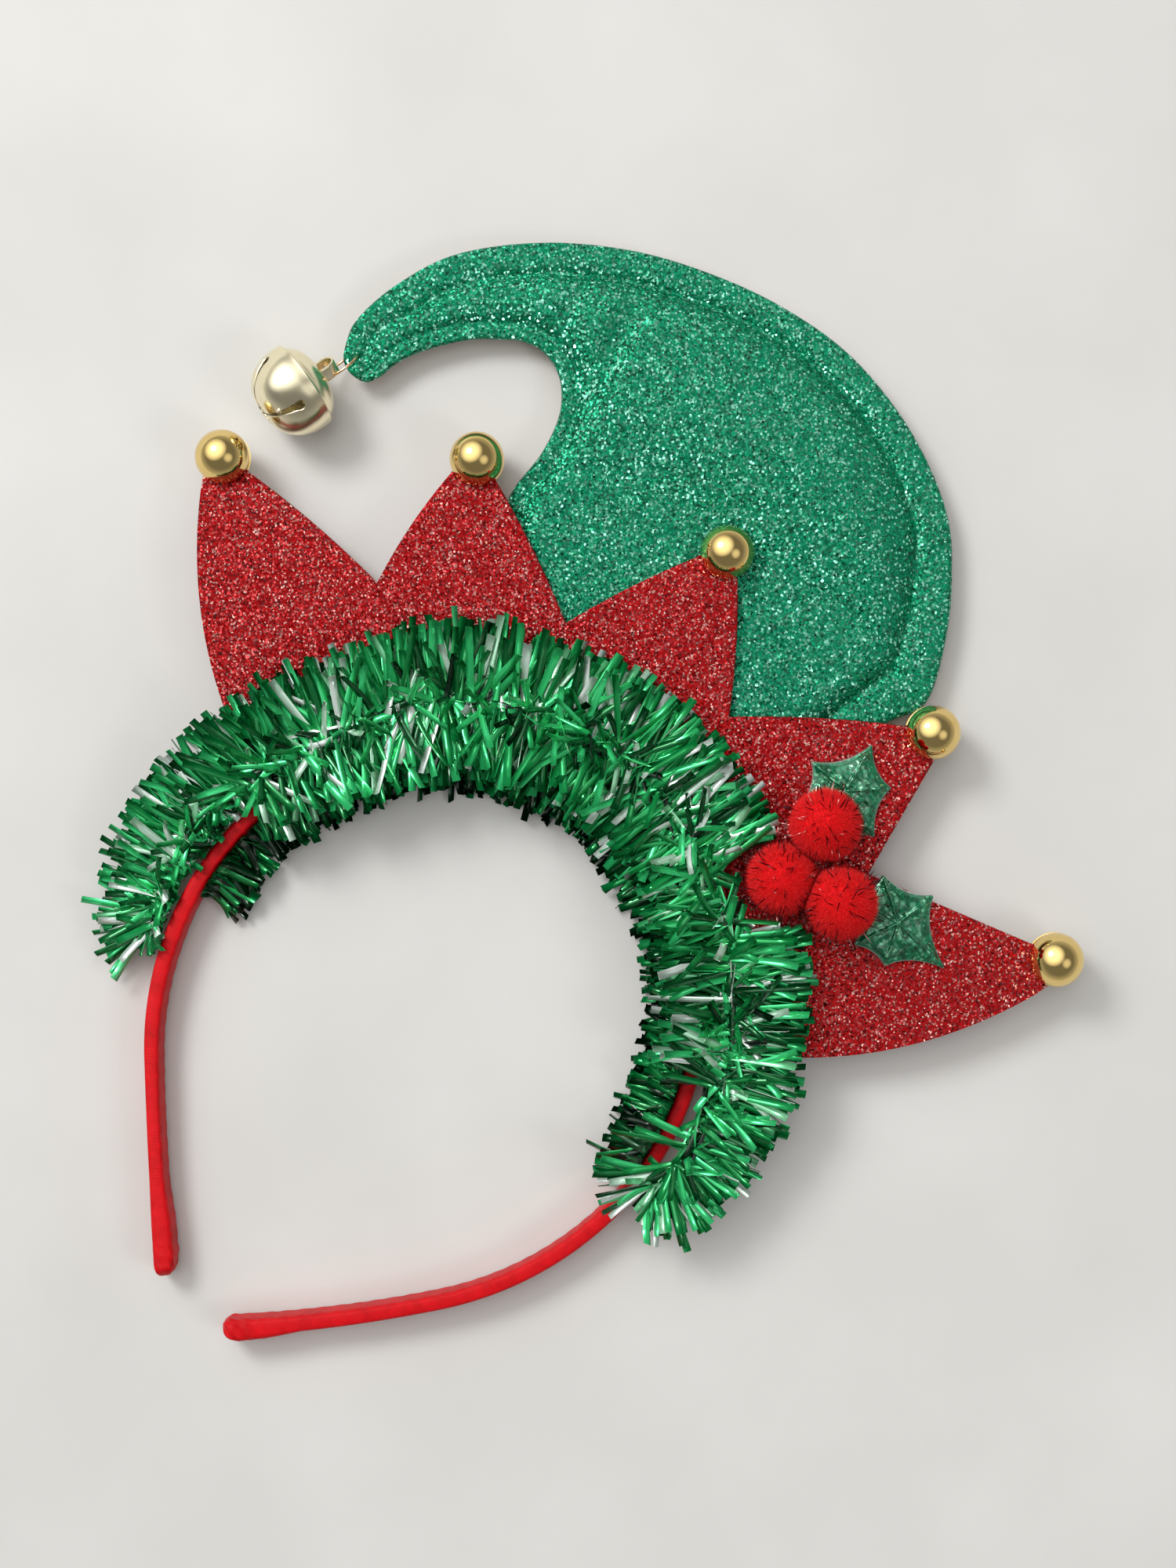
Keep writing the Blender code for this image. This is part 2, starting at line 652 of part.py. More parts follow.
def loop_reach():
    """Distance from the bell's centre to the wire in its loop."""
    return BELL_CAP_HEIGHT + LOOP_LENGTH


def bell_place():
    """Centre of the bell, whose loop holds the ring's far side."""
    ring, reach = ring_place()
    heading = bell_heading()
    run = reach + loop_reach() * math.cos(math.radians(BELL_DIP))
    return Vector((ring.x + heading[0] * run, ring.y + heading[1] * run, bell_height()))


def make_pellet(material, root):
    """The loose pellet inside the bell, lying on its inner wall."""
    turn = np.linspace(-math.pi / 2, math.pi / 2, 7)
    radii = PELLET_RADIUS * np.cos(turn)
    radii[0] = radii[-1] = 0
    mesh = lathe("bell_pellet", radii, PELLET_RADIUS * np.sin(turn), 10)
    pellet = add_object("bell_pellet", mesh, material, root, 60)
    centre = bell_place()
    pellet.location = (centre.x, centre.y, BELL_WALL + PELLET_RADIUS + 3 * GAP)
    return pellet


def make_ring(material, root):
    """The jump ring: a wire circle standing on edge, leaning a little."""
    around = np.linspace(0, 2 * math.pi, RING_SIDES, endpoint=False)
    tube = np.linspace(0, 2 * math.pi, RING_WIRE_SIDES, endpoint=False)
    heading = bell_heading()
    lean = math.radians(RING_LEAN)
    along = np.array([heading[0], heading[1], 0])
    aside = np.array([-heading[1], heading[0], 0])
    up = np.array([0, 0, math.cos(lean)]) + aside * math.sin(lean)
    normal = np.cross(along, up)
    out = np.cos(around)[:, None] * along + np.sin(around)[:, None] * up
    wire = RING_WIRE / 2
    centre, _ = ring_place()
    points = (np.array(centre) + out[:, None] * (RING_RADIUS + wire * np.cos(tube)[:, None])
              + normal * wire * np.sin(tube)[:, None])
    faces = []
    for step in range(RING_SIDES):
        for side in range(RING_WIRE_SIDES):
            next_step, after = (step + 1) % RING_SIDES, (side + 1) % RING_WIRE_SIDES
            faces.append((step * RING_WIRE_SIDES + side, next_step * RING_WIRE_SIDES + side,
                          next_step * RING_WIRE_SIDES + after, step * RING_WIRE_SIDES + after))
    mesh = mesh_of("jump_ring", points.reshape(-1, 3), faces)
    return add_object("jump_ring", mesh, material, root, 60)


def garland_rows():
    """The garland's rows, even along the band, read between the table's rows."""
    table = np.array(GARLAND_ROWS)
    shares = np.unique(np.concatenate([table[:, 0],
                                       np.linspace(table[0, 0], table[-1, 0], GARLAND_STEPS)]))
    keep = np.concatenate([[True], np.diff(shares) > 0.5 / GARLAND_STEPS * np.ptp(table[:, 0])])
    shares = np.unique(np.concatenate([shares[keep], table[:, 0]]))
    columns = [np.interp(shares, table[:, 0], table[:, column]) for column in range(1, 6)]
    return shares, columns


def garland_sections():
    """The body's section on each row.

    It lies on the band and the brim, hangs down inside the band, and near its left end lies
    against the band's outer face.
    """
    shares, (core_side, core_rise, inner_face, seat, hang) = garland_rows()
    radius = GARLAND_RADIUS
    face = inner_face * (BAND_THICKNESS / 2 + GARLAND_BAND_GAP)
    low = seat * BAND_WIDTH + GAP * 2
    low = np.where(seat > 1, brim_top() + GAP, low)
    fall = np.minimum(hang * BAND_WIDTH, low)
    core = face * (inner_face > 0) + core_side * radius
    rise = core_rise * radius
    hanging = hang > 0
    across = [face, face, face - hang * GARLAND_HANG_REACH]
    heights = [low, np.where(hanging, low - fall, low + rise / 4),
               np.where(hanging, low - fall + GAP, low + rise / 2)]
    for point in GARLAND_ARC:
        edge = core + point.across * radius
        across.append(np.where(inner_face > 0, np.maximum(edge, face), edge))
        heights.append(low + rise + point.up * radius * GARLAND_FLATTEN)
    across += [core + 0.9 * radius, core]
    heights += [low, low]
    _, _, limits = garland_limits(shares)
    across = np.minimum(np.array(across).T, limits[:, None])
    return shares, across, np.array(heights).T, core, low + rise


def make_garland(material, root):
    """The foil garland: its body, with every other face of the free sides drawn out."""
    shares, across, heights, core, height = garland_sections()
    rings = sections_along_band(shares, across, heights)
    mesh = lofted("tinsel", rings)
    centres = sections_along_band(shares, core[:, None], height[:, None])[:, 0]
    points, outward, limits = garland_limits(shares)
    shape = bmesh.new()
    shape.from_mesh(mesh)
    shape.faces.ensure_lookup_table()
    sides = rings.shape[1]
    floor = GAP
    chosen = []
    beside_band = across[:, 0] > 0
    for row in range(len(shares) - 1):
        first = 5 if beside_band[row] or beside_band[row + 1] else 2
        for side in range(first, sides - 3):
            if (row + side) % 2 == 0:
                chosen.append((shape.faces[row * sides + side], row))
    for face, row in chosen:
        middle = Vector((centres[row] + centres[row + 1]) / 2)
        centre = face.calc_center_median()
        away = (centre - middle).normalized()
        made = bmesh.ops.extrude_discrete_faces(shape, faces=[face])["faces"][0]
        for vertex in made.verts:
            vertex.co = centre + (vertex.co - centre) * (1 - GARLAND_LOCK_TAPER)
            vertex.co += away * GARLAND_LOCK
            vertex.co.z = max(vertex.co.z, floor)
            away_from_band = Vector((*outward[row], 0))
            out = (vertex.co - Vector((*points[row], 0))).dot(away_from_band)
            vertex.co -= away_from_band * max(0, out - min(limits[row:row + 2]))
    bmesh.ops.recalc_face_normals(shape, faces=shape.faces)
    shape.to_mesh(mesh)
    shape.free()
    return add_object("tinsel", mesh, material, root)


def pompom_centres():
    """Centres of the three pompoms: two lie on the leaves and one on the brim."""
    centres = []
    for place in POMPOMS:
        seat = brim_top() + GAP + place.on_leaf * (LEAF_THICKNESS + LEAF_PUFF + GAP)
        x, y = fan_place(place.angle_degrees, place.height_share)
        centres.append(Vector((x, y, seat + POMPOM_RADIUS)))
    return centres


def garland_limits(shares):
    """How far out of the band the garland may reach on each row, short of the pompoms."""
    points, outward = band_line(shares)
    limits = np.full(len(shares), BRIM_HEIGHT)
    reach = POMPOM_RADIUS + POMPOM_LOCK + GARLAND_POMPOM_GAP
    for centre in pompom_centres():
        offset = np.array(centre.to_2d()) - points
        out = (offset * outward).sum(1)
        along = np.abs(offset[:, 0] * outward[:, 1] - offset[:, 1] * outward[:, 0])
        near = (along < reach) & (out > 0)
        short = out - np.sqrt(np.maximum(0, reach ** 2 - along ** 2))
        limits = np.where(near, np.minimum(limits, short), limits)
    return points, outward, limits


def make_pompoms(material, root):
    """Three pompoms in tufts, pressed flat on the brim and where they meet each other."""
    turn = np.linspace(-math.pi / 2, math.pi / 2, POMPOM_RINGS + 1)
    radii = POMPOM_RADIUS * np.cos(turn)
    radii[0] = radii[-1] = 0
    centres = pompom_centres()
    for number, centre in enumerate(centres):
        mesh = lathe("pompom", radii, POMPOM_RADIUS * np.sin(turn), POMPOM_SIDES)
        shape = bmesh.new()
        shape.from_mesh(mesh)
        bmesh.ops.poke(shape, faces=shape.faces, offset=POMPOM_LOCK)
        for vertex in shape.verts:
            vertex.co.z = max(vertex.co.z, -POMPOM_RADIUS)
            for other in centres:
                if other is not centre:
                    towards = (other - centre).normalized()
                    limit = (other - centre).length / 2 - GAP
                    vertex.co -= towards * max(0, vertex.co.dot(towards) - limit)
        bmesh.ops.recalc_face_normals(shape, faces=shape.faces)
        shape.to_mesh(mesh)
        shape.free()
        pompom = add_object(f"pompom_{number + 1}", mesh, material, root)
        pompom.location = centre


def leaf_outline(lobes):
    """A leaf's outline: pointed lobes joined by edges that curve in."""
    headings = np.radians([lobe.heading_degrees for lobe in lobes])
    reach = LEAF_REACH * np.array([lobe.reach_share for lobe in lobes])
    tips = np.stack([np.cos(headings), np.sin(headings)], axis=1) * reach[:, None]
    after = np.roll(tips, -1, axis=0)
    t = np.arange(LEAF_EDGE_STEPS)[:, None] / LEAF_EDGE_STEPS
    edges = []
    for start, end in zip(tips, after):
        middle = (start + end) / 2
        inward = -middle / np.linalg.norm(middle) * LEAF_BITE * np.linalg.norm(end - start)
        edges.append(start * (1 - t) + end * t + inward * 4 * t * (1 - t))
    return np.concatenate(edges)


def make_leaves(material, root):
    """Two padded holly leaves on the brim, with a thin rim and a raised middle."""
    for number, (place, lobes) in enumerate(zip(LEAF_PLACES, LEAF_LOBES)):
        outline = leaf_outline(lobes)
        base = brim_top() + GAP
        rim = base + LEAF_THICKNESS
        count = len(outline)
        points = [(x, y, base) for x, y in outline]
        points += [(x, y, rim) for x, y in outline]
        points += [(x, y, rim + LEAF_PUFF) for x, y in outline * LEAF_RIM_SHARE]
        points.append((0, 0, rim + LEAF_PUFF))
        faces = [tuple(range(count))]
        for a in range(count):
            b = (a + 1) % count
            faces.append((a, b, b + count, a + count))
            faces.append((a + count, b + count, b + 2 * count, a + 2 * count))
            faces.append((a + 2 * count, b + 2 * count, 3 * count))
        mesh = mesh_of("leaf", points, faces)
        piece = add_object(f"holly_leaf_{number + 1}", mesh, material, root)
        piece.location = (*fan_place(place.angle_degrees, place.height_share), 0)


def centre_on_base(root):
    """Move everything so that the middle of its base lies at the origin."""
    bpy.context.view_layer.update()
    depsgraph = bpy.context.evaluated_depsgraph_get()
    corners = []
    for piece in bpy.data.objects:
        if piece.type == "MESH" and not piece.hide_render:
            shown = piece.evaluated_get(depsgraph)
            corners += [piece.matrix_world @ vertex.co for vertex in shown.data.vertices]
    low = np.min([tuple(corner) for corner in corners], axis=0)
    high = np.max([tuple(corner) for corner in corners], axis=0)
    root.location = (-(low[0] + high[0]) / 2, -(low[1] + high[1]) / 2, -low[2])


def main():
    """Build the headband and all that it carries."""
    clear_scene()
    root = bpy.data.objects.new("elf_hat_headband", None)
    bpy.context.collection.objects.link(root)
    satin = plain_material("red_satin", (0.55, 0.01, 0.02), 0.45, 0.0)
    red = plain_material("red_glitter", (0.42, 0.02, 0.03), 0.5, 0.2)
    green = plain_material("green_glitter", (0.0, 0.25, 0.12), 0.5, 0.2)
    foil = plain_material("green_foil", (0.0, 0.3, 0.1), 0.25, 0.8)
    gold = plain_material("gold", (0.8, 0.62, 0.25), 0.2, 1.0)
    fuzz = plain_material("red_fuzz", (0.6, 0.01, 0.02), 0.9, 0.0)
    vinyl = plain_material("green_vinyl", (0.02, 0.3, 0.15), 0.3, 0.1)
    make_headband(satin, root)
    make_brim(red, root)
    make_beads(gold, root)
    make_hat(green, root)
    make_ring(gold, root)
    make_bell(gold, root)
    make_pellet(gold, root)
    make_garland(foil, root)
    make_pompoms(fuzz, root)
    make_leaves(vinyl, root)
    centre_on_base(root)


main()
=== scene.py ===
"""Looks of the elf hat headband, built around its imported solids.

Metres, +Z up. X runs across the head and +Y from the open ends to the crown of the band.
Each new piece is a surface worked out with numpy on a grid of two parameters, and its
docstring gives the formula in words.
"""
import math
from collections import namedtuple

import bmesh
import bpy
import numpy as np
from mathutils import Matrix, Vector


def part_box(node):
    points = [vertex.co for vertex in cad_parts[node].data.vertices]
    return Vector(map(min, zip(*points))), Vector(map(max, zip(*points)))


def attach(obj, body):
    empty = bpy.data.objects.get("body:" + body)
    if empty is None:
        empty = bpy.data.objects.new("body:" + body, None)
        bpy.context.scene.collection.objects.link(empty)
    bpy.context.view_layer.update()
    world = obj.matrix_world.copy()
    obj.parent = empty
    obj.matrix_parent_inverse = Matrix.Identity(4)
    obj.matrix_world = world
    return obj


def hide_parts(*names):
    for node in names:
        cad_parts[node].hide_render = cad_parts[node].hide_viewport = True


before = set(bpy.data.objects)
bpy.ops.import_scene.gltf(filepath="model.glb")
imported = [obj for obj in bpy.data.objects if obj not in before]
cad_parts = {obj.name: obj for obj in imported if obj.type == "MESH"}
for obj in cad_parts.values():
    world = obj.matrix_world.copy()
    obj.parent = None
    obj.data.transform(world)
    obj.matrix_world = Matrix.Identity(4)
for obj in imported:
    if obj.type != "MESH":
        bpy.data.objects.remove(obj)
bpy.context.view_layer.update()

BODY = "root"
ABOVE_TABLE = 0.0002

# Headband: a covered strip bent on edge, as arcs that follow each other
BAND_LENGTH = 0.430
BAND_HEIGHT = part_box("headband")[1].z
BAND_START_HEADING = 125.5
CROWN_SIDE = -0.005
BandArc = namedtuple("BandArc", "length_share turn_degrees")
BAND_ARCS = (
    BandArc(0.125, -3.0),
    BandArc(0.125, -39.0),
    BandArc(0.125, -43.0),
    BandArc(0.125, -50.0),
    BandArc(0.125, -48.0),
    BandArc(0.125, -43.0),
    BandArc(0.125, -37.0),
    BandArc(0.125, -9.0),
)
CoverRow = namedtuple("CoverRow", "length_share inner_half outer_half")
COVER_ROWS = (
    CoverRow(0.000, 0.0022, 0.0019),
    CoverRow(0.012, 0.0032, 0.0021),
    CoverRow(0.030, 0.0031, 0.0021),
    CoverRow(0.055, 0.0021, 0.0019),
    CoverRow(0.100, 0.0019, 0.0019),
    CoverRow(0.190, 0.0024, 0.0021),
    CoverRow(0.300, 0.0021, 0.0020),
    CoverRow(0.700, 0.0021, 0.0020),
    CoverRow(0.900, 0.0020, 0.0020),
    CoverRow(0.955, 0.0021, 0.0021),
    CoverRow(0.975, 0.0021, 0.0031),
    CoverRow(0.990, 0.0021, 0.0033),
    CoverRow(1.000, 0.0020, 0.0024),
)
COVER_SQUARENESS = 0.42
COVER_INSET = 0.0003
COVER_THREAD_RADIUS = 0.0045
COVER_END_RUN = 0.0028
COVER_END_SHARE = 0.12
COVER_FOLDS = 9
COVER_FOLD_DEPTH = 0.00035
COVER_FOLD_RUN = 0.0045
COVER_FOLD_TWIST = 2000.0
PUCKER_DEPTH = 0.00006
PUCKER_PITCH = 0.0007

# Brim: a fan of glitter foam, as angles and radii about its centre
BRIM_RADIUS = 0.117
BRIM_HEIGHT = 0.065
BRIM_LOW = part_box("brim")[0].z
BRIM_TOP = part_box("brim")[1].z
BRIM_TIP_WIDTH = 0.0114
BRIM_TIP_DROP = 0.0045
BRIM_TIP_BOW = 0.53
BRIM_EDGE_ROUND = 0.0005
BRIM_LEFT_SHARE = 0.292
BRIM_RIGHT_SHARE = 0.655
BRIM_END_BOW = 0.10
BRIM_END_FADE = 8
BrimPoint = namedtuple("BrimPoint", "angle_degrees height_share edge_bow")
BRIM_POINTS = (
    BrimPoint(-40.3, 1.0, 0.09),
    BrimPoint(-27.9, 0.5, 0.02),
    BrimPoint(-20.8, 1.0, 0.03),
    BrimPoint(-9.9, 0.5, 0.02),
    BrimPoint(-0.3, 1.0, 0.02),
    BrimPoint(7.7, 0.5, 0.02),
    BrimPoint(20.7, 1.0, 0.02),
    BrimPoint(27.3, 0.5, 0.0),
    BrimPoint(40.5, 1.0, 0.0),
)
BrimPlace = namedtuple("BrimPlace", "angle_degrees height_share")

# Hat: a padded horn between an outer and an inner edge, in shares of its width and height
HAT_WIDTH = 0.168
HAT_HEIGHT = 0.124
HAT_SEAM = 0.0065
HAT_SEAM_HALF = 0.0011
HAT_PUFF = 0.0066
HAT_BACK_PUFF = 0.0060
HAT_PUFF_RUN = 0.0080
HAT_OUTER_BORDER = 0.0078
HAT_INNER_BORDER = 0.0040
HAT_BASE_SHARES = (0.552, 0.405)
HAT_BASE_OUT = 0.0023
HAT_CORNER_HEIGHT = 0.055
HAT_CORNER_RUN = 0.030
HAT_CORNER_WIDER = 0.45
HAT_THIN_WIDTH = 0.022
HAT_EDGE_ROUND = 0.0009
HAT_GROOVE_DEPTH = 0.0008
HAT_GROOVE_HALF = 0.0011
HAT_FAINT_GROOVE = 0.45
HAT_BASE_BORDER = 0.003
HAT_BORDER_SWELL = 0.00014
HAT_WAVES = (0.0003, 0.00018)
HAT_PAST_POINTS = 0.0066
HAT_CLIMB_RUN = 0.024
HAT_OVER_BAND = 0.0003
HAT_SOFT_LIMIT = 0.0005
TuckRow = namedtuple("TuckRow", "outer inner")
HAT_TUCK_ROWS = (
    TuckRow(BrimPlace(15.6, 0.600), BrimPlace(-17.7, 0.430)),
    TuckRow(BrimPlace(17.9, 0.900), BrimPlace(-17.8, 0.740)),
    TuckRow(BrimPlace(18.7, 1.062), BrimPlace(-17.8, 0.903)),
)
HatRow = namedtuple("HatRow", "outer_x outer_y inner_x inner_y")
HAT_ROWS = (
    HatRow(0.335, 0.595, -0.312, 0.506),
    HatRow(0.297, 0.707, -0.317, 0.583),
    HatRow(0.238, 0.820, -0.334, 0.634),
    HatRow(0.132, 0.921, -0.358, 0.666),
    HatRow(0.004, 0.986, -0.389, 0.681),
    HatRow(-0.122, 1.000, -0.420, 0.677),
    HatRow(-0.245, 0.981, -0.449, 0.658),
    HatRow(-0.358, 0.939, -0.485, 0.628),
    HatRow(-0.470, 0.864, -0.518, 0.587),
    HatRow(-0.568, 0.757, -0.545, 0.545),
    HatRow(-0.621, 0.640, -0.562, 0.506),
    HatRow(-0.643, 0.540, -0.570, 0.475),
    HatRow(-0.634, 0.482, -0.578, 0.458),
)
HORN_STEPS = 13
HORN_TIP_BULGE = 0.0027
HORN_TIP_ROWS = 20.8
HORN_SEAM_END = BrimPlace(16.0, 0.0)
HornFold = namedtuple("HornFold", "start_x start_y end_x end_y depth half_width")
HORN_FOLDS = (
    HornFold(-0.300, 0.850, -0.296, 0.640, 0.0016, 0.0032),
    HornFold(-0.375, 0.860, -0.385, 0.740, 0.0010, 0.0030),
    HornFold(-0.365, 0.660, -0.385, 0.800, 0.0008, 0.0022),
)
FOLD_SWELL = 0.45
FOLD_SWELL_AWAY = 1.7

# Beads
BEAD_LIP = 0.0001
BEAD_ROUND = 48

# Foil garland: strips from a twisted core, in rows along the band
GarlandRow = namedtuple("GarlandRow", "length_share core_out core_up strip_length")
GARLAND_ROWS = (
    GarlandRow(0.192, 0.0062, 0.0070, 0.0125),
    GarlandRow(0.215, 0.0072, 0.0080, 0.0142),
    GarlandRow(0.240, 0.0080, 0.0090, 0.0152),
    GarlandRow(0.270, 0.0080, 0.0105, 0.0165),
    GarlandRow(0.300, 0.0060, 0.0165, 0.0170),
    GarlandRow(0.345, 0.0060, 0.0175, 0.0175),
    GarlandRow(0.400, 0.0090, 0.0175, 0.0185),
    GarlandRow(0.500, 0.0100, 0.0175, 0.0180),
    GarlandRow(0.600, 0.0072, 0.0175, 0.0175),
    GarlandRow(0.665, 0.0070, 0.0170, 0.0175),
    GarlandRow(0.700, 0.0055, 0.0160, 0.0165),
    GarlandRow(0.735, 0.0030, 0.0150, 0.0150),
)
GarlandParting = namedtuple("GarlandParting", "first_share last_share kept")
GARLAND_PARTINGS = (
    GarlandParting(0.190, 0.243, 0.12),
    GarlandParting(0.300, 0.308, 0.15),
    GarlandParting(0.316, 0.326, 0.15),
    GarlandParting(0.622, 0.632, 0.20),
    GarlandParting(0.662, 0.730, 0.08),
)
GARLAND_TOP = 0.0325
CORE_SCATTER = 0.0007
CORE_PITCH = 0.0028
CORE_TWIST_RADIUS = 0.00055
CORE_THREAD_RADIUS = 0.0004
BRUSH_LEAN = 62.0
BRUSH_RUN = 0.0045
STRIP_THICKNESS = 0.00009
STRIP_SECTIONS = 5
STRIP_POINTS = STRIP_SECTIONS * 4
STRIP_LONGEST = 1.08
STRIP_SPREAD = 0.34
UPRIGHT_SHARES = (0.40, 0.85)
STRIP_ROLL = 0.55
STRIP_BENDS = (0.0012, 0.0012, 0.0010)
STRIP_SAG = 0.0018
STRIP_LAYERS = 0.0022
BAND_HALF = 0.0030
BRIM_BACK = -0.0016
STRIP_CLEARANCE = 0.0004
FREE_BAND_RUN = 0.006
CROSSED_BAND = 0.0024
NEAR_BAND = 0.0034
POMPOM_FREE = 0.0102
TuftGroup = namedtuple("TuftGroup", (
    "count", "angle", "spread", "lean", "width_low", "width_high", "tone_low", "tone_high"))
TUFT_GROUPS = (
    TuftGroup(760, 4.0, 5.0, 9.0, 0.0015, 0.0022, 0.25, 1.0),
    TuftGroup(460, 16.0, 8.0, 16.0, 0.0015, 0.0021, 0.25, 1.0),
    TuftGroup(340, 42.0, 18.0, 44.0, 0.0013, 0.0019, 0.15, 1.0),
    TuftGroup(340, 138.0, 18.0, 44.0, 0.0013, 0.0019, 0.15, 1.0),
    TuftGroup(440, 164.0, 8.0, 17.0, 0.0015, 0.0021, 0.25, 1.0),
    TuftGroup(560, 177.0, 6.0, 10.0, 0.0015, 0.0022, 0.20, 0.98),
)
# the under tufts take only the darker tones: painted shade under the garland
UNDER_TUFTS = TuftGroup(760, 190.0, 14.0, 12.0, 0.0015, 0.0021, 0.0, 0.60)
UNDER_FIRST_SHARE = 0.226
UNDER_OUT = -0.0026
UNDER_HEIGHTS = (0.0015, 0.0095)
UNDER_LENGTHS = (0.0075, 0.0115)

# Bell and jump ring
BELL_RADIUS = 0.0112
BELL_CAP_HEIGHT = 0.0078
BELL_PETAL_HEIGHT = 0.0095
BELL_CAP_POWER = 0.40
BELL_PETAL_POWER = 0.35
BELL_RIDGE = -0.0030
BELL_LIP = 0.00045
BELL_LIP_RUN = 0.0008
BELL_CAP_INSET = 0.00030
BELL_LIP_ROWS = (0.00004, 0.00016, 0.00030, 0.00055, 0.0009)
BELL_ROOT_ROWS = 0.0014
BELL_WALL = 0.0007
BELL_FLAT = 0.10
BELL_HEADING = 247.0
BELL_DIP = 8.0
BELL_ROLL = 14.0
BELL_LIFT = 0.0014
SLOT_ROOT = 0.0011
SLOT_BULB = 0.0013
SLOT_HALF = 0.00105
SLOT_NARROWING = 0.00075
PIMPLE_AROUND = -0.68
PIMPLE_HEIGHT = 0.0070
PIMPLE_RADIUS = 0.0007
LOOP_TWIST = 36.0
LOOP_RADIUS = 0.00225
LOOP_THICKNESS = 0.0007
LOOP_WIDTH = 0.0036
LOOP_LENGTH = 0.0016
RING_RADIUS = 0.0045
RING_WIRE = 0.00034
RING_LEAN = 22.0
RING_START = 97.0
RING_TURN = 357.0

# Pompoms and holly leaves
POMPOM_RADIUS = 0.0078
POMPOM_FUZZ = 0.0093
POMPOM_CORE = 0.80
POMPOM_PLACES = (BrimPlace(20.9, 0.460), BrimPlace(22.7, 0.216), BrimPlace(27.9, 0.344))
HairKind = namedtuple("HairKind", "count root_share tip_low tip_high thickness lean")
FUZZ_HAIRS = HairKind(13500, 0.72, 0.90, 1.03, 0.00008, 0.36)
BRISTLES = HairKind(130, 0.70, 1.05, 1.42, 0.00038, 0.42)
HAIR_POINTS = 7
LEAF_REACH = 0.0164
LEAF_BITE = 0.13
LEAF_BLUNT = 0.035
LEAF_RIM_WIDTH = 0.0009
LEAF_RIM_HEIGHT = 0.0009
LEAF_EDGE_HEIGHT = 0.0002
LEAF_ROUND_SHARE = 0.06
LEAF_PAD_RUN = 0.0011
LEAF_PALE_RIM = 0.0004
VEIN_REACH = 0.78
VEIN_HALF = 0.00042
VEIN_GROOVE = 0.6
VEIN_GROOVE_AWAY = 0.0011
VEIN_GROOVE_HALF = 0.0005
LEAF_PLACES = (BrimPlace(19.9, 0.605), BrimPlace(32.5, 0.504))
LeafLobe = namedtuple("LeafLobe", "heading_degrees reach_share")
LEAF_LOBES = (
    (LeafLobe(169, 0.68), LeafLobe(91, 0.82), LeafLobe(35, 0.70),
     LeafLobe(-26, 0.82), LeafLobe(-79, 0.82), LeafLobe(-134, 0.68)),
    (LeafLobe(179, 0.73), LeafLobe(138, 0.76), LeafLobe(68, 0.69),
     LeafLobe(-13, 1.00), LeafLobe(-75, 0.68), LeafLobe(-122, 0.73)),
)

# Finishes, as linear colours
# the spark colour is a painted glint, laid into the base colour of a few flakes
GlitterLook = namedtuple("GlitterLook", "film dark spark spark_share flake plain")
RED_GLITTER = GlitterLook((0.98, 0.002, 0.005, 1), (0.06, 0.000, 0.001, 1),
                          (1.0, 0.55, 0.48, 1), 0.10, 0.00042, (0.36, 0.004, 0.010, 1))
GREEN_GLITTER = GlitterLook((0.001, 0.58, 0.275, 1), (0.000, 0.050, 0.024, 1),
                            (0.40, 1.0, 0.76, 1), 0.13, 0.00050, (0.50, 0.36, 0.24, 1))
GoldLook = namedtuple("GoldLook", "colour deep roughness smear")
MIRROR_GOLD = GoldLook((0.86, 0.64, 0.25, 1), (0.74, 0.50, 0.16, 1), 0.045, 0.3)
SATIN_GOLD = GoldLook((0.95, 0.87, 0.62, 1), (0.88, 0.77, 0.48, 1), 0.19, 0.5)
ROSE_GOLD = GoldLook((0.88, 0.58, 0.34, 1), (0.70, 0.42, 0.20, 1), 0.10, 0.4)
BACKING_SKIN = 0.0004


def fan_point(angle_degrees, radius):
    """A point of the brim's fan, whose centre lies one brim radius below the crown."""
    angle = np.radians(angle_degrees)
    return np.stack([radius * np.sin(angle), radius * np.cos(angle) - BRIM_RADIUS], axis=-1)


def solid_box(name):
    """The low and high corners of a solid's box."""
    return [np.array(corner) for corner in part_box(name)]


def crown_origin():
    """Where the crown's middle lies in the frame, from the solid of the middle bead."""
    low, high = solid_box("bead_front_3")
    middle = (low + high)[:2] / 2
    return middle - fan_point(BRIM_POINTS[4].angle_degrees, BRIM_RADIUS + BRIM_HEIGHT)


ORIGIN = crown_origin()


def brim_spot(place):
    """A place on the brim, from its angle and its share of the height up to the points."""
    return fan_point(place.angle_degrees, BRIM_RADIUS + BRIM_HEIGHT * place.height_share) + ORIGIN


def band_line(shares, side=0.0):
    """Points beside the band's centre line, with the outward normals there.

    The heading turns evenly along each arc, its direction is summed along the length, and
    the line is moved so that its highest point is the crown.
    """
    knots = np.cumsum([0.0] + [arc.length_share for arc in BAND_ARCS])
    turned = np.cumsum([0.0] + [arc.turn_degrees for arc in BAND_ARCS])
    fine = np.linspace(0.0, 1.0, 1601)
    heading = np.radians(BAND_START_HEADING + np.interp(fine, knots, turned))
    step = BAND_LENGTH / (len(fine) - 1)
    along = np.stack([np.cos(heading), np.sin(heading)], axis=1)
    walked = np.cumsum((along[1:] + along[:-1]) * step / 2, axis=0)
    line = np.concatenate([[[0.0, 0.0]], walked])
    line = line - line[line[:, 1].argmax()] + (CROWN_SIDE, 0.0) + ORIGIN
    points = np.stack([np.interp(shares, fine, line[:, axis]) for axis in (0, 1)], axis=-1)
    angle = np.interp(shares, fine, heading)
    outward = np.stack([-np.sin(angle), np.cos(angle)], axis=-1)
    return points + outward * np.asarray(side)[..., None], outward


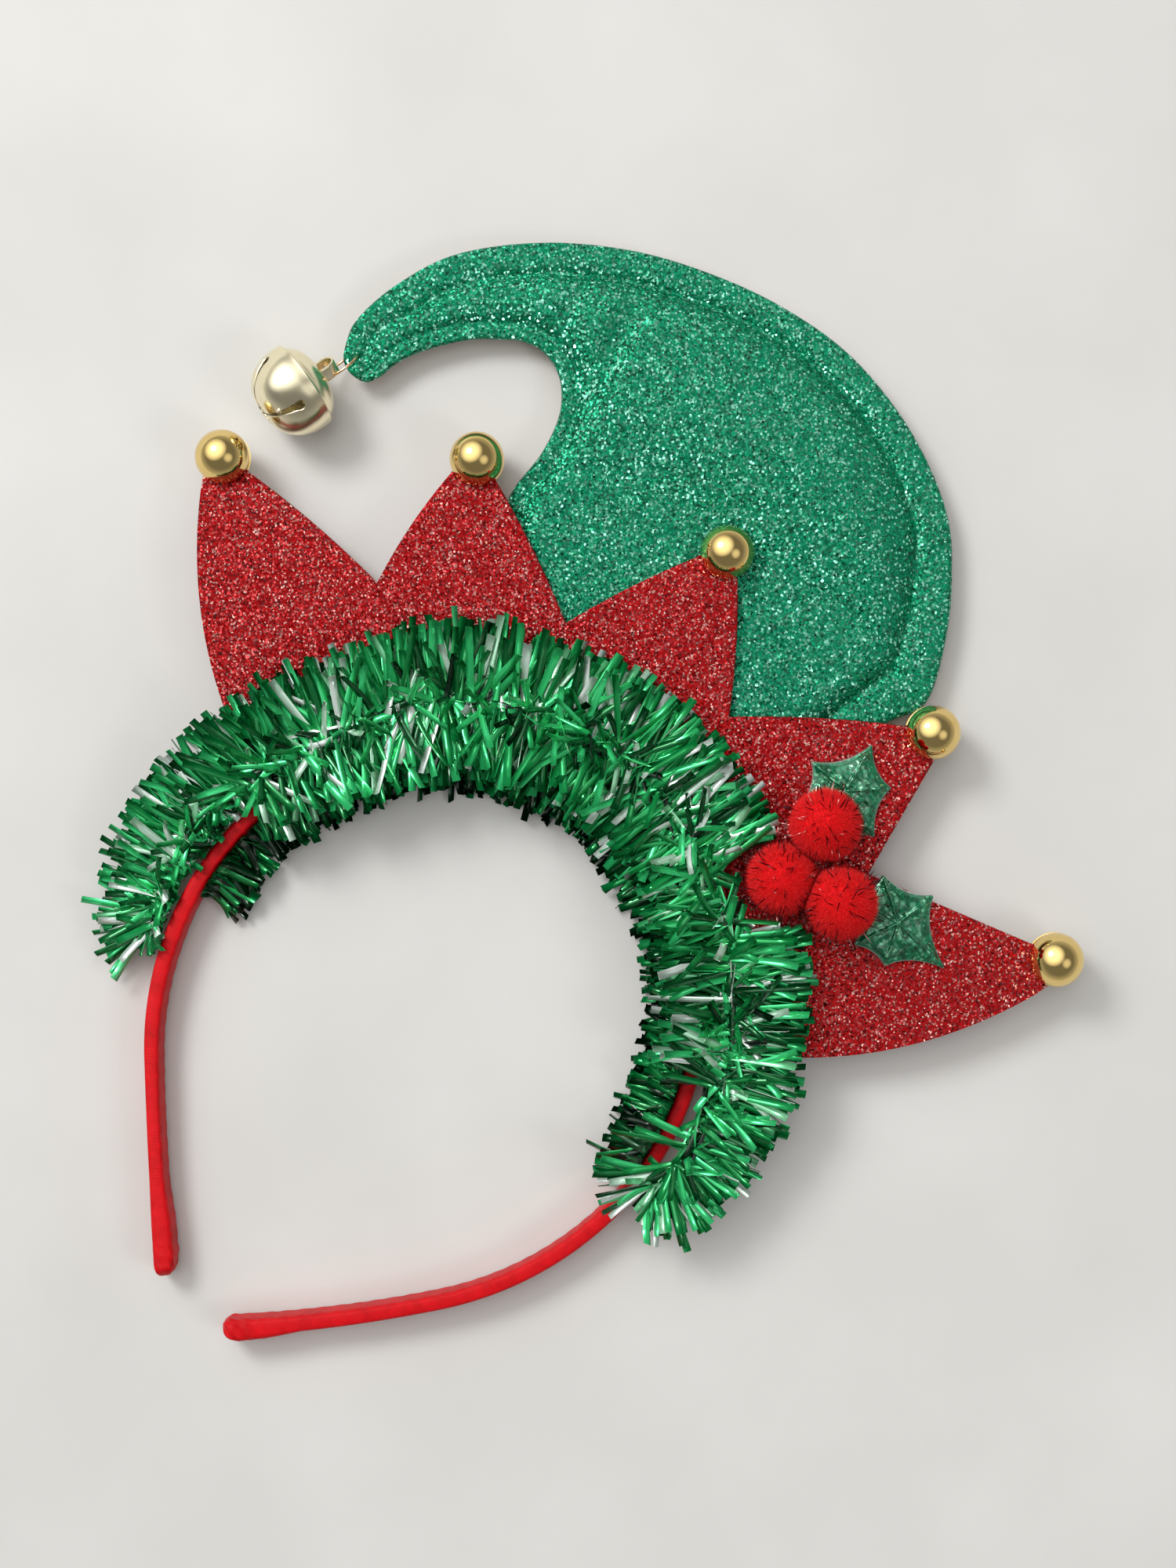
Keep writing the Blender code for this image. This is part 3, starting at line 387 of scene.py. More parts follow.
def beside_band(points):
    """The share along the band nearest to each point, and how far outward the point lies."""
    shares = np.linspace(0.0, 1.0, 860)
    line, outward = band_line(shares)
    flat = points.reshape(-1, points.shape[-1])[:, :2]
    away = ((flat[:, None, :] - line[None]) ** 2).sum(-1)
    nearest = away.argmin(1)
    out = ((flat - line[nearest]) * outward[nearest]).sum(-1)
    return shares[nearest].reshape(points.shape[:-1]), out.reshape(points.shape[:-1])


def smooth_rows(table, places):
    """A table's rows read at any place, smooth through every row.

    Between two rows the value follows a cubic whose slope at each row is half the step from
    the row before to the row after.
    """
    before = np.concatenate([table[:1], table[:-1]])
    after = np.concatenate([table[1:], table[-1:]])
    slope = (after - before) / 2
    row = np.minimum(places.astype(int), len(table) - 2)
    t = (places - row)[:, None]
    return (table[row] * (1 + 2 * t) * (1 - t) ** 2 + slope[row] * t * (1 - t) ** 2
            + table[row + 1] * t * t * (3 - 2 * t) + slope[row + 1] * t * t * (t - 1))


def grid_faces(rows, columns, round_rows=False, round_columns=False):
    """Quads between neighbouring points of a grid, and across its ends where it is round."""
    row, column = np.meshgrid(np.arange(rows if round_rows else rows - 1),
                              np.arange(columns if round_columns else columns - 1),
                              indexing="ij")
    right = (column + 1) % columns
    below = (row + 1) % rows
    quads = [row * columns + column, row * columns + right,
             below * columns + right, below * columns + column]
    return np.stack(quads, axis=-1).reshape(-1, 4)


def rounded(values, power):
    """The sine or cosine of a superellipse: the power of its size, with its sign."""
    return np.sign(values) * np.abs(values) ** power


def quarter_round(share):
    """The height of a quarter circle, from 0 at the edge to 1 at a share of one."""
    return np.sqrt(np.clip(1 - (1 - np.clip(share, 0, 1)) ** 2, 0, 1))


def padding_rise(away, run):
    """Padding beyond a seam: 1 - exp(-distance / run), and 0 before it."""
    return 1 - np.exp(-np.maximum(away, 0) / run)


def capped(rings):
    """A grid of rings with the middle of each end ring repeated, which closes the tube."""
    caps = rings[[0, -1]].mean(axis=1, keepdims=True).repeat(rings.shape[1], axis=1)
    return np.concatenate([caps[:1], rings, caps[1:]])


def copies(faces, point_count, count):
    """The faces of one small shape, repeated for as many shapes of equally many points."""
    shift = np.arange(count)[:, None, None] * point_count
    return (faces[None] + shift).reshape(-1, faces.shape[1])


def add_piece(name, points, faces, material, smooth=True, weld=True, values=None):
    """A mesh object of points and faces, its doubles merged and its faces pointing out.

    values names float attributes that hold one number for each point.
    """
    mesh = bpy.data.meshes.new(name)
    points = np.ascontiguousarray(points, dtype=np.float32).reshape(-1, 3)
    corners = faces.shape[1]
    mesh.vertices.add(len(points))
    mesh.vertices.foreach_set("co", points.ravel())
    mesh.loops.add(faces.size)
    mesh.loops.foreach_set("vertex_index", np.ascontiguousarray(faces, dtype=np.int32).ravel())
    mesh.polygons.add(len(faces))
    mesh.polygons.foreach_set("loop_start", np.arange(len(faces), dtype=np.int32) * corners)
    mesh.update(calc_edges=True)
    for label, numbers in (values or {}).items():
        held = mesh.attributes.new(label, "FLOAT", "POINT")
        held.data.foreach_set("value", np.ascontiguousarray(numbers, dtype=np.float32).ravel())
    if weld:
        shape = bmesh.new()
        shape.from_mesh(mesh)
        bmesh.ops.remove_doubles(shape, verts=shape.verts, dist=0.000002)
        bmesh.ops.dissolve_degenerate(shape, edges=shape.edges, dist=0.000001)
        bmesh.ops.recalc_face_normals(shape, faces=shape.faces)
        shape.to_mesh(mesh)
        shape.free()
    if smooth:
        mesh.shade_smooth()
    mesh.materials.append(material)
    piece = bpy.data.objects.new(name, mesh)
    bpy.context.collection.objects.link(piece)
    return piece


def add_rings(name, grid, material, values=None):
    """A mesh object over a grid of closed rings."""
    faces = grid_faces(*grid.shape[:2], round_columns=True)
    return add_piece(name, grid, faces, material, values=values)


def keep_edges(piece, degrees):
    """Shade edges sharper than an angle as edges."""
    piece.data.set_sharp_from_angle(angle=math.radians(degrees))


def place_piece(piece, slot, *nodes):
    """Let a piece ride on the body and stand for solids, which are hidden. slot is not used."""
    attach(piece, BODY)
    if nodes:
        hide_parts(*nodes)


# Shader nodes


def new_material(name, **constants):
    """A material's tree and its Principled shader, with constants set on its own sockets."""
    material = bpy.data.materials.new(name)
    material.use_nodes = True
    shader = material.node_tree.nodes["Principled BSDF"]
    for socket, value in constants.items():
        shader.inputs[socket.replace("_", " ")].default_value = value
    return material, material.node_tree, shader


def set_sockets(tree, node, sockets):
    """Set a node's sockets to values, or join them to other sockets."""
    for socket, value in sockets.items():
        if isinstance(value, bpy.types.NodeSocket):
            tree.links.new(value, node.inputs[socket])
        else:
            node.inputs[socket].default_value = value


def add_node(tree, kind, sockets=None, **settings):
    """A node with its settings, its sockets set to values or joined to other sockets."""
    node = tree.nodes.new(kind)
    for setting, value in settings.items():
        setattr(node, setting, value)
    set_sockets(tree, node, sockets or {})
    return node


def maths(tree, operation, first, second=0.0, third=0.0):
    """The result of one Math node."""
    node = add_node(tree, "ShaderNodeMath", {0: first, 1: second, 2: third}, operation=operation)
    return node.outputs[0]


def mixed(tree, share, first, second):
    """The colour between two colours at a share."""
    node = add_node(tree, "ShaderNodeMix", {0: share, 6: first, 7: second}, data_type="RGBA")
    return node.outputs[2]


def ranged(tree, value, low, high, to_low=0.0, to_high=1.0):
    """A value moved from one range to another, and held within it."""
    node = add_node(tree, "ShaderNodeMapRange", {"Value": value, "From Min": low,
                    "From Max": high, "To Min": to_low, "To Max": to_high})
    return node.outputs["Result"]


def shader_group(name, inputs, outputs):
    """A node group with named sockets, and its inner input and output nodes."""
    group = bpy.data.node_groups.new(name, "ShaderNodeTree")
    for label, kind, value in inputs:
        socket = group.interface.new_socket(label, in_out="INPUT", socket_type=kind)
        if value is not None:
            socket.default_value = value
    for label, kind in outputs:
        group.interface.new_socket(label, in_out="OUTPUT", socket_type=kind)
    return group, group.nodes.new("NodeGroupInput"), group.nodes.new("NodeGroupOutput")


def place_group(tree, group, sockets):
    """One use of a node group with its own values."""
    return add_node(tree, "ShaderNodeGroup", sockets, node_tree=group)


def object_place(tree):
    """The place on the piece that patterns follow."""
    return tree.nodes.new("ShaderNodeTexCoord").outputs["Object"]


def held_value(tree, name):
    """A number that the mesh holds for each of its points."""
    return add_node(tree, "ShaderNodeAttribute", attribute_name=name).outputs["Fac"]


def make_flake_group():
    """Glitter: cells of one flake each, with a tone and a lean of their own.

    A cell's random colour gives its tone between dark and film, makes a few cells into sparks
    with a painted glint in the Spark colour, and tips the surface normal by up to Lean. Towards
    its edge each flake darkens.
    """
    group, given, out = shader_group("glitter_flakes", (
        ("Vector", "NodeSocketVector", None),
        ("Flake Size", "NodeSocketFloat", 0.0005),
        ("Film", "NodeSocketColor", None),
        ("Dark", "NodeSocketColor", None),
        ("Spark", "NodeSocketColor", None),
        ("Spark Share", "NodeSocketFloat", 0.1),
        ("Lean", "NodeSocketFloat", 0.6),
    ), (("Color", "NodeSocketColor"), ("Normal", "NodeSocketVector"),
        ("Spark Mask", "NodeSocketFloat")))
    scale = maths(group, "DIVIDE", 1.0, given.outputs["Flake Size"])
    cells = add_node(group, "ShaderNodeTexVoronoi", {"Vector": given.outputs["Vector"],
                     "Scale": scale, "Randomness": 1.0})
    parts = add_node(group, "ShaderNodeSeparateColor", {"Color": cells.outputs["Color"]})
    tone = mixed(group, parts.outputs[0], given.outputs["Dark"], given.outputs["Film"])
    # darker towards each flake's edge
    edge = ranged(group, cells.outputs["Distance"], 0.25, 0.65, 0.0, 0.55)
    edge_darkened = mixed(group, edge, tone, given.outputs["Dark"])
    start = maths(group, "SUBTRACT", 1.0, given.outputs["Spark Share"])
    spark = maths(group, "GREATER_THAN", parts.outputs[1], start)
    painted_glint_mask = maths(group, "MULTIPLY", spark, ranged(group, parts.outputs[2], 0.0, 1.0, 0.25, 1.0))
    centred = add_node(group, "ShaderNodeVectorMath", {0: cells.outputs["Color"],
                       1: (0.5, 0.5, 0.5)}, operation="SUBTRACT")
    lean = add_node(group, "ShaderNodeVectorMath", {0: centred.outputs[0],
                    "Scale": given.outputs["Lean"]}, operation="SCALE")
    face = group.nodes.new("ShaderNodeNewGeometry")
    tipped = add_node(group, "ShaderNodeVectorMath", {0: face.outputs["Normal"],
                      1: lean.outputs[0]}, operation="ADD")
    whole = add_node(group, "ShaderNodeVectorMath", {0: tipped.outputs[0]},
                     operation="NORMALIZE")
    # spark cells take the Spark colour: a painted glint in the base colour
    set_sockets(group, out, {"Color": mixed(group, painted_glint_mask, edge_darkened, given.outputs["Spark"]),
                "Spark Mask": painted_glint_mask, "Normal": whole.outputs[0]})
    return group


def make_thread_group():
    """Woven threads: ridges along one way and fine crossings along the other, as a height."""
    group, given, out = shader_group("woven_threads", (
        ("Vector", "NodeSocketVector", None),
        ("Thread", "NodeSocketFloat", 0.0003),
        ("Cross Share", "NodeSocketFloat", 0.4),
    ), (("Height", "NodeSocketFloat"), ("Shade", "NodeSocketFloat")))
    place = add_node(group, "ShaderNodeSeparateXYZ", {0: given.outputs["Vector"]})
    turn = maths(group, "DIVIDE", 2 * math.pi, given.outputs["Thread"])
    ridge = maths(group, "SINE", maths(group, "MULTIPLY", place.outputs[0], turn))
    cross = maths(group, "SINE", maths(group, "MULTIPLY", place.outputs[1], turn))
    height = maths(group, "MULTIPLY_ADD", cross, given.outputs["Cross Share"], ridge)
    cloud = add_node(group, "ShaderNodeTexNoise", {"Vector": given.outputs["Vector"],
                     "Scale": 260.0, "Detail": 3.0, "Roughness": 0.6})
    shade = ranged(group, cloud.outputs["Fac"], 0.3, 0.7)
    set_sockets(group, out, {"Height": height, "Shade": shade})
    return group


def make_wear_group():
    """Handling marks on metal and film: cloudy smears, as a mask."""
    group, given, out = shader_group("handling_marks", (
        ("Vector", "NodeSocketVector", None),
        ("Smear Size", "NodeSocketFloat", 0.004),
    ), (("Smear", "NodeSocketFloat"),))
    scale = maths(group, "DIVIDE", 1.0, given.outputs["Smear Size"])
    smear = add_node(group, "ShaderNodeTexNoise", {"Vector": given.outputs["Vector"],
                     "Scale": scale, "Detail": 4.0, "Distortion": 0.6})
    set_sockets(group, out, {"Smear": ranged(group, smear.outputs["Fac"], 0.35, 0.7)})
    return group


FLAKES = make_flake_group()
THREADS = make_thread_group()
MARKS = make_wear_group()


def glitter_material(name, look, plain_top):
    """Glitter film on a face, and the plain backing below a height."""
    material, tree, shader = new_material(name, IOR=1.5)
    place = object_place(tree)
    flakes = place_group(tree, FLAKES, {"Vector": place, "Flake Size": look.flake,
                         "Film": look.film, "Dark": look.dark, "Spark": look.spark,
                         "Spark Share": look.spark_share, "Lean": 1.1})
    height = add_node(tree, "ShaderNodeSeparateXYZ", {0: place}).outputs[2]
    film_mask = maths(tree, "GREATER_THAN", height, plain_top)
    face = tree.nodes.new("ShaderNodeNewGeometry")
    normal = add_node(tree, "ShaderNodeMix", {0: film_mask, 4: face.outputs["Normal"],
                      5: flakes.outputs["Normal"]}, data_type="VECTOR")
    # base colour: the flakes' tones, with painted glints on the spark cells
    set_sockets(tree, shader, {
        "Base Color": mixed(tree, film_mask, look.plain, flakes.outputs["Color"]),
        "Roughness": ranged(tree, flakes.outputs["Spark Mask"], 0.0, 1.0, 0.34, 0.16),
        "Metallic": maths(tree, "MULTIPLY", film_mask, 0.55),
        "Normal": normal.outputs[1]})
    return material


def satin_material():
    """Red satin ribbon: cross threads and slight clouds of tone."""
    material, tree, shader = new_material("red_satin", Roughness=0.48, Specular_IOR_Level=0.16)
    place = add_node(tree, "ShaderNodeCombineXYZ", {0: held_value(tree, "along"),
                     1: held_value(tree, "around")}).outputs[0]
    threads = place_group(tree, THREADS, {"Vector": place, "Thread": 0.00042,
                          "Cross Share": 0.35})
    clouds = place_group(tree, MARKS, {"Vector": object_place(tree), "Smear Size": 0.006})
    deep = mixed(tree, threads.outputs["Shade"], (0.40, 0.001, 0.003, 1), (0.58, 0.002, 0.006, 1))
    light = maths(tree, "MULTIPLY", clouds.outputs["Smear"], 0.4)
    bump = add_node(tree, "ShaderNodeBump", {"Height": threads.outputs["Height"],
                    "Strength": 0.35, "Distance": 0.00006})
    set_sockets(tree, shader, {"Base Color": mixed(tree, light, deep, (0.68, 0.005, 0.010, 1)),
                "Normal": bump.outputs["Normal"]})
    return material


def foil_material():
    """Green foil film: metal under a clear face, each strip with a tone of its own.

    Tones run from a painted shade over two greens to a painted glint on the lightest strips.
    """
    material, tree, shader = new_material("green_foil", Coat_Weight=0.45, Coat_Roughness=0.07,
                                          Metallic=0.55)
    tone = held_value(tree, "tone")
    # the darkest tones are painted shade, the palest a painted glint
    deep = mixed(tree, ranged(tree, tone, 0.20, 0.56), (0.000, 0.012, 0.003, 1),
                 (0.006, 0.33, 0.075, 1))
    light = mixed(tree, ranged(tree, tone, 0.56, 0.82), deep, (0.055, 0.72, 0.24, 1))
    pale = mixed(tree, ranged(tree, tone, 0.88, 0.95), light, (0.90, 1.0, 0.94, 1))
    marks = place_group(tree, MARKS, {"Vector": object_place(tree), "Smear Size": 0.003})
    rough = ranged(tree, marks.outputs["Smear"], 0.0, 1.0, 0.17, 0.30)
    set_sockets(tree, shader, {"Base Color": pale, "Roughness": rough})
    return material


def gold_material(name, look):
    """Plated gold: a mirror or satin face with faint smears."""
    material, tree, shader = new_material(name, Metallic=1.0)
    marks = place_group(tree, MARKS, {"Vector": object_place(tree), "Smear Size": 0.004})
    smear = maths(tree, "MULTIPLY", marks.outputs["Smear"], look.smear)
    rough = ranged(tree, marks.outputs["Smear"], 0.0, 1.0, look.roughness, look.roughness + 0.09)
    set_sockets(tree, shader, {"Base Color": mixed(tree, smear, look.colour, look.deep),
                "Roughness": rough})
    return material


def fuzz_material():
    """Red fuzz: fibres with painted shade at the root and painted light at the tip."""
    material, tree, shader = new_material("red_fuzz", Roughness=0.7, Specular_IOR_Level=0.15)
    red = mixed(tree, held_value(tree, "tone"), (0.74, 0.003, 0.007, 1), (0.95, 0.035, 0.035, 1))
    set_sockets(tree, shader, {"Base Color": red})
    return material


def bristle_material():
    """Dark red foil bristles, a few of them with a painted glint."""
    material, tree, shader = new_material("dark_red_foil", Metallic=0.8, Roughness=0.25,
                                          Coat_Weight=0.3)
    # the brightest tones are a painted glint
    pale = ranged(tree, held_value(tree, "tone"), 0.86, 0.92)
    red = mixed(tree, pale, (0.06, 0.001, 0.004, 1), (0.95, 0.45, 0.42, 1))
    set_sockets(tree, shader, {"Base Color": red})
    return material


def vinyl_material():
    """Padded green vinyl over film: swirls of two greens, bright flecks and a pale rim."""
    material, tree, shader = new_material("green_vinyl", Roughness=0.10, Coat_Weight=1.0,
                                          Coat_Roughness=0.04, Metallic=0.45)
    place = object_place(tree)
    swirl = add_node(tree, "ShaderNodeTexNoise", {"Vector": place, "Scale": 420.0,
                     "Detail": 3.0, "Distortion": 1.6})
    tint = mixed(tree, ranged(tree, swirl.outputs["Fac"], 0.35, 0.65),
                 (0.001, 0.045, 0.016, 1), (0.004, 0.27, 0.115, 1))
    # bright flecks: partly the film's own colour, partly a painted glint
    flakes = place_group(tree, FLAKES, {"Vector": place, "Flake Size": 0.0006,
                         "Film": (0.004, 0.26, 0.11, 1), "Dark": (0.000, 0.035, 0.012, 1),
                         "Spark": (0.35, 0.90, 0.50, 1), "Spark Share": 0.10, "Lean": 0.5})
    crumple = add_node(tree, "ShaderNodeBump", {"Height": swirl.outputs["Fac"],
                       "Strength": 0.55, "Distance": 0.0004})
    green = mixed(tree, 0.40, tint, flakes.outputs["Color"])
    rim = held_value(tree, "rim")
    pale = mixed(tree, rim, (0, 0, 0, 1), (0.50, 0.66, 0.58, 1))
    set_sockets(tree, shader, {"Base Color": mixed(tree, rim, green, pale),
                "Normal": crumple.outputs["Normal"]})
    return material


def dark_thread_material():
    """Twisted dark green thread."""
    material, tree, shader = new_material("dark_thread", Roughness=0.6)
    swirl = add_node(tree, "ShaderNodeTexNoise", {"Vector": object_place(tree),
                     "Scale": 900.0, "Detail": 2.0})
    green = mixed(tree, swirl.outputs["Fac"], (0.002, 0.012, 0.005, 1), (0.010, 0.05, 0.02, 1))
    set_sockets(tree, shader, {"Base Color": green})
    return material


def floor_material():
    """A pale matt floor with faint clouds."""
    material, tree, shader = new_material("pale_floor", Roughness=0.8)
    cloud = add_node(tree, "ShaderNodeTexNoise", {"Vector": object_place(tree), "Scale": 14.0,
                     "Detail": 4.0})
    grey = mixed(tree, cloud.outputs["Fac"], (0.50, 0.49, 0.465, 1), (0.63, 0.62, 0.595, 1))
    set_sockets(tree, shader, {"Base Color": grey})
    return material


# The covered band


def make_band(material):
    """The covered band: a rounded rectangle carried along the band's line.

    Its halves to either side of the line come from COVER_ROWS. The cover is drawn in to a
    point at both ends, where folds run along it and fade away, and fine puckers cross its
    inner face.
    """
    rows, columns = 760, 40
    ends = 0.5 - 0.5 * np.cos(np.linspace(0, math.pi, rows))
    shares = 0.5 * ends + 0.5 * np.linspace(0, 1, rows)
    table = np.array(COVER_ROWS)
    inner = np.interp(shares, table[:, 0], table[:, 1])[:, None]
    outer = np.interp(shares, table[:, 0], table[:, 2])[:, None]
    around = np.linspace(0, 2 * math.pi, columns, endpoint=False)[None]
    side = rounded(np.cos(around), COVER_SQUARENESS)
    rise = rounded(np.sin(around), COVER_SQUARENESS)
    from_end = np.minimum(shares, 1 - shares)[:, None] * BAND_LENGTH
    close = COVER_END_SHARE + (1 - COVER_END_SHARE) * quarter_round(from_end / COVER_END_RUN)
    fold_depth = COVER_FOLD_DEPTH * np.exp(-from_end / COVER_FOLD_RUN)
    folds = fold_depth * np.cos(COVER_FOLDS * around + COVER_FOLD_TWIST * from_end)
    pucker = PUCKER_DEPTH * np.sin(shares[:, None] * BAND_LENGTH / PUCKER_PITCH) * (side < 0)
    half = np.where(side > 0, outer, inner)
    across = side * (half + folds + pucker) * close
    up = BAND_HEIGHT / 2 + rise * (BAND_HEIGHT / 2 - COVER_INSET + folds) * close
    up = np.maximum(up, ABOVE_TABLE)
    points, outward = band_line(shares)
    flat = points[:, None] + outward[:, None] * across[..., None]
    along = np.repeat(np.concatenate([[0], shares, [1]]) * BAND_LENGTH, columns)
    ringed = np.tile(around[0] * COVER_THREAD_RADIUS, rows + 2)
    band = add_rings("satin_band", capped(np.dstack([flat, up])), material,
                     values={"along": along, "around": ringed})
    place_piece(band, "band_satin", "headband")


# The brim


def bowed(start, end, bow, share):
    """Points from start to end, bulging to the left by a share of the edge's length."""
    run = end - start
    left = np.array([-run[1], run[0]])
    t = share[:, None]
    return start + run * t + left * bow * 4 * t * (1 - t)


def zigzag_line(steps):
    """The brim's free edge from its left end to its right end, with a tongue at each tip."""
    corners, bows = [], []
    for point in BRIM_POINTS:
        bows.append(point.edge_bow)
        if point.height_share == 1.0:
            middle = fan_point(point.angle_degrees, BRIM_RADIUS + BRIM_HEIGHT - BRIM_TIP_DROP)
            angle = math.radians(point.angle_degrees)
            aside = np.array([math.cos(angle), -math.sin(angle)]) * BRIM_TIP_WIDTH / 2
            corners += [middle - aside, middle + aside]
            bows.append(BRIM_TIP_BOW)
        else:
            corners.append(fan_point(point.angle_degrees,
                                     BRIM_RADIUS + BRIM_HEIGHT * point.height_share))
    share = np.linspace(0, 1, steps, endpoint=False)
    edges = [bowed(a, b, bow, share) for a, b, bow in zip(corners, corners[1:], bows[1:])]
    return np.concatenate(edges + [[corners[-1]]]) + ORIGIN


def make_brim(material):
    """The foam brim: a patch between the band and the zigzag, rounded over its free edge.

    Across the fan each point blends from the band's line to the zigzag, plus what the two
    end edges bulge beyond a straight line. A section runs over the front, round the edge on a
    half circle and back under the sheet.
    """
    zigzag = zigzag_line(16)
    columns = len(zigzag)
    u = np.linspace(0, 1, columns)
    seat, _ = band_line(BRIM_LEFT_SHARE + (BRIM_RIGHT_SHARE - BRIM_LEFT_SHARE) * u)
    v = np.linspace(0, 1, 30)
    chord = zigzag - seat
    sheet = seat[None] + chord[None] * v[:, None, None]
    left = bowed(seat[0], zigzag[0], BRIM_POINTS[0].edge_bow, v) - sheet[:, 0]
    right = bowed(seat[-1], zigzag[-1], -BRIM_END_BOW, v) - sheet[:, -1]
    fade = u[None, :, None]
    sheet = (sheet + left[:, None] * (1 - fade) ** BRIM_END_FADE
             + right[:, None] * fade ** BRIM_END_FADE)
    inward = -chord / np.linalg.norm(chord, axis=1)[:, None]
    turn = np.linspace(math.pi / 2, -math.pi / 2, 7)[:, None, None]
    edge = zigzag[None] + inward[None] * BRIM_EDGE_ROUND * (1 - np.cos(turn))
    middle, half = (BRIM_TOP + BRIM_LOW) / 2, (BRIM_TOP - BRIM_LOW) / 2
    edge_z = middle + half * np.sin(turn[..., 0]) * np.ones((1, columns))
    flat = sheet[:-1]
    top = np.dstack([flat, np.full(flat.shape[:2], BRIM_TOP)])
    low = np.dstack([flat[::-1], np.full(flat.shape[:2], BRIM_LOW)])
    rows = np.concatenate([top, np.dstack([edge, edge_z]), low])
    faces = grid_faces(len(rows), columns, round_rows=True)
    row = np.arange(len(rows) // 2)
    across = len(rows) - 1 - row
    ends = [np.stack([row[:-1] * columns + c, row[1:] * columns + c,
                      across[1:] * columns + c, across[:-1] * columns + c], axis=1)
            for c in (0, columns - 1)]
    brim = add_piece("glitter_brim", rows, np.concatenate([faces] + ends), material)
    keep_edges(brim, 50)
    place_piece(brim, "brim_glitter", "brim")


# The padded horn


def horn_edges(steps):
    """The horn's outer and inner edges from its base to its tip, smooth through the rows."""
    base, _ = band_line(np.array(HAT_BASE_SHARES), HAT_BASE_OUT)
    rows = [base.ravel()]
    rows += [np.concatenate([brim_spot(row.outer), brim_spot(row.inner)]) for row in HAT_TUCK_ROWS]
    size = np.array([HAT_WIDTH, HAT_HEIGHT] * 2)
    rows += [np.array(row) * size + np.tile(ORIGIN, 2) for row in HAT_ROWS]
    table = np.array(rows)
    smooth = smooth_rows(table, np.linspace(0, len(table) - 1, (len(table) - 1) * steps + 1))
    return smooth[:, :2], smooth[:, 2:]


def distance_to_line(points, line):
    """Shortest distance from each point to a line through many points."""
    run = line[1:] - line[:-1]
    length = np.maximum((run * run).sum(-1), 1e-12)
    nearest = np.full(points.shape[:-1], np.inf)
    for start, step, square in zip(line[:-1], run, length):
        offset = points - start
        share = np.clip((offset @ step) / square, 0, 1)
        away = ((offset - share[..., None] * step) ** 2).sum(-1)
        nearest = np.minimum(nearest, away)
    return np.sqrt(nearest)


def waves(points, size, seed):
    """Smooth uneven waves between -1 and 1, a sum of sines in random directions."""
    rng = np.random.default_rng(seed)
    total = np.zeros(points.shape[:-1])
    for _ in range(7):
        turn, phase = rng.uniform(0, 2 * math.pi, 2)
        pitch = size * rng.uniform(0.6, 1.8)
        way = np.array([math.cos(turn), math.sin(turn)]) * 2 * math.pi / pitch
        total += np.sin(points[..., :2] @ way + phase)
    return total / 7


def horn_grid(outer, inner, width):
    """The horn's flat grid: lines across it, with points close together near both edges.

    Its base follows the band, and its last lines bulge into a blunt tip.
    """
    narrow = np.minimum(1, width / (3.6 * (HAT_OUTER_BORDER + HAT_INNER_BORDER)))
    near_outer = np.linspace(0, 2.4, 26) ** 1.15 * HAT_OUTER_BORDER * narrow
    near_inner = np.linspace(2.6, 0, 20) ** 1.15 * HAT_INNER_BORDER * narrow
    first, last = near_outer[:, -1:], width - near_inner[:, :1]
    middle = first + (last - first) * np.linspace(0, 1, 44)[1:-1]
    reach = np.concatenate([near_outer, middle, width - near_inner], axis=1)
    share = (reach / width)[..., None]
    grid = outer[:, None] * (1 - share) + inner[:, None] * share
    along = HAT_BASE_SHARES[0] + (HAT_BASE_SHARES[1] - HAT_BASE_SHARES[0]) * share[0, :, 0]
    grid[0], _ = band_line(along, HAT_BASE_OUT)
    end_line = inner[-1] - outer[-1]
    end_way = np.array([end_line[1], -end_line[0]]) / np.linalg.norm(end_line)
    fade = np.clip(1 - np.arange(len(outer))[::-1] / HORN_TIP_ROWS, 0, 1) ** 2
    bulge = HORN_TIP_BULGE * (4 * share[..., 0] * (1 - share[..., 0])) ** 0.6 * fade[:, None]
    return grid + end_way * bulge[..., None]


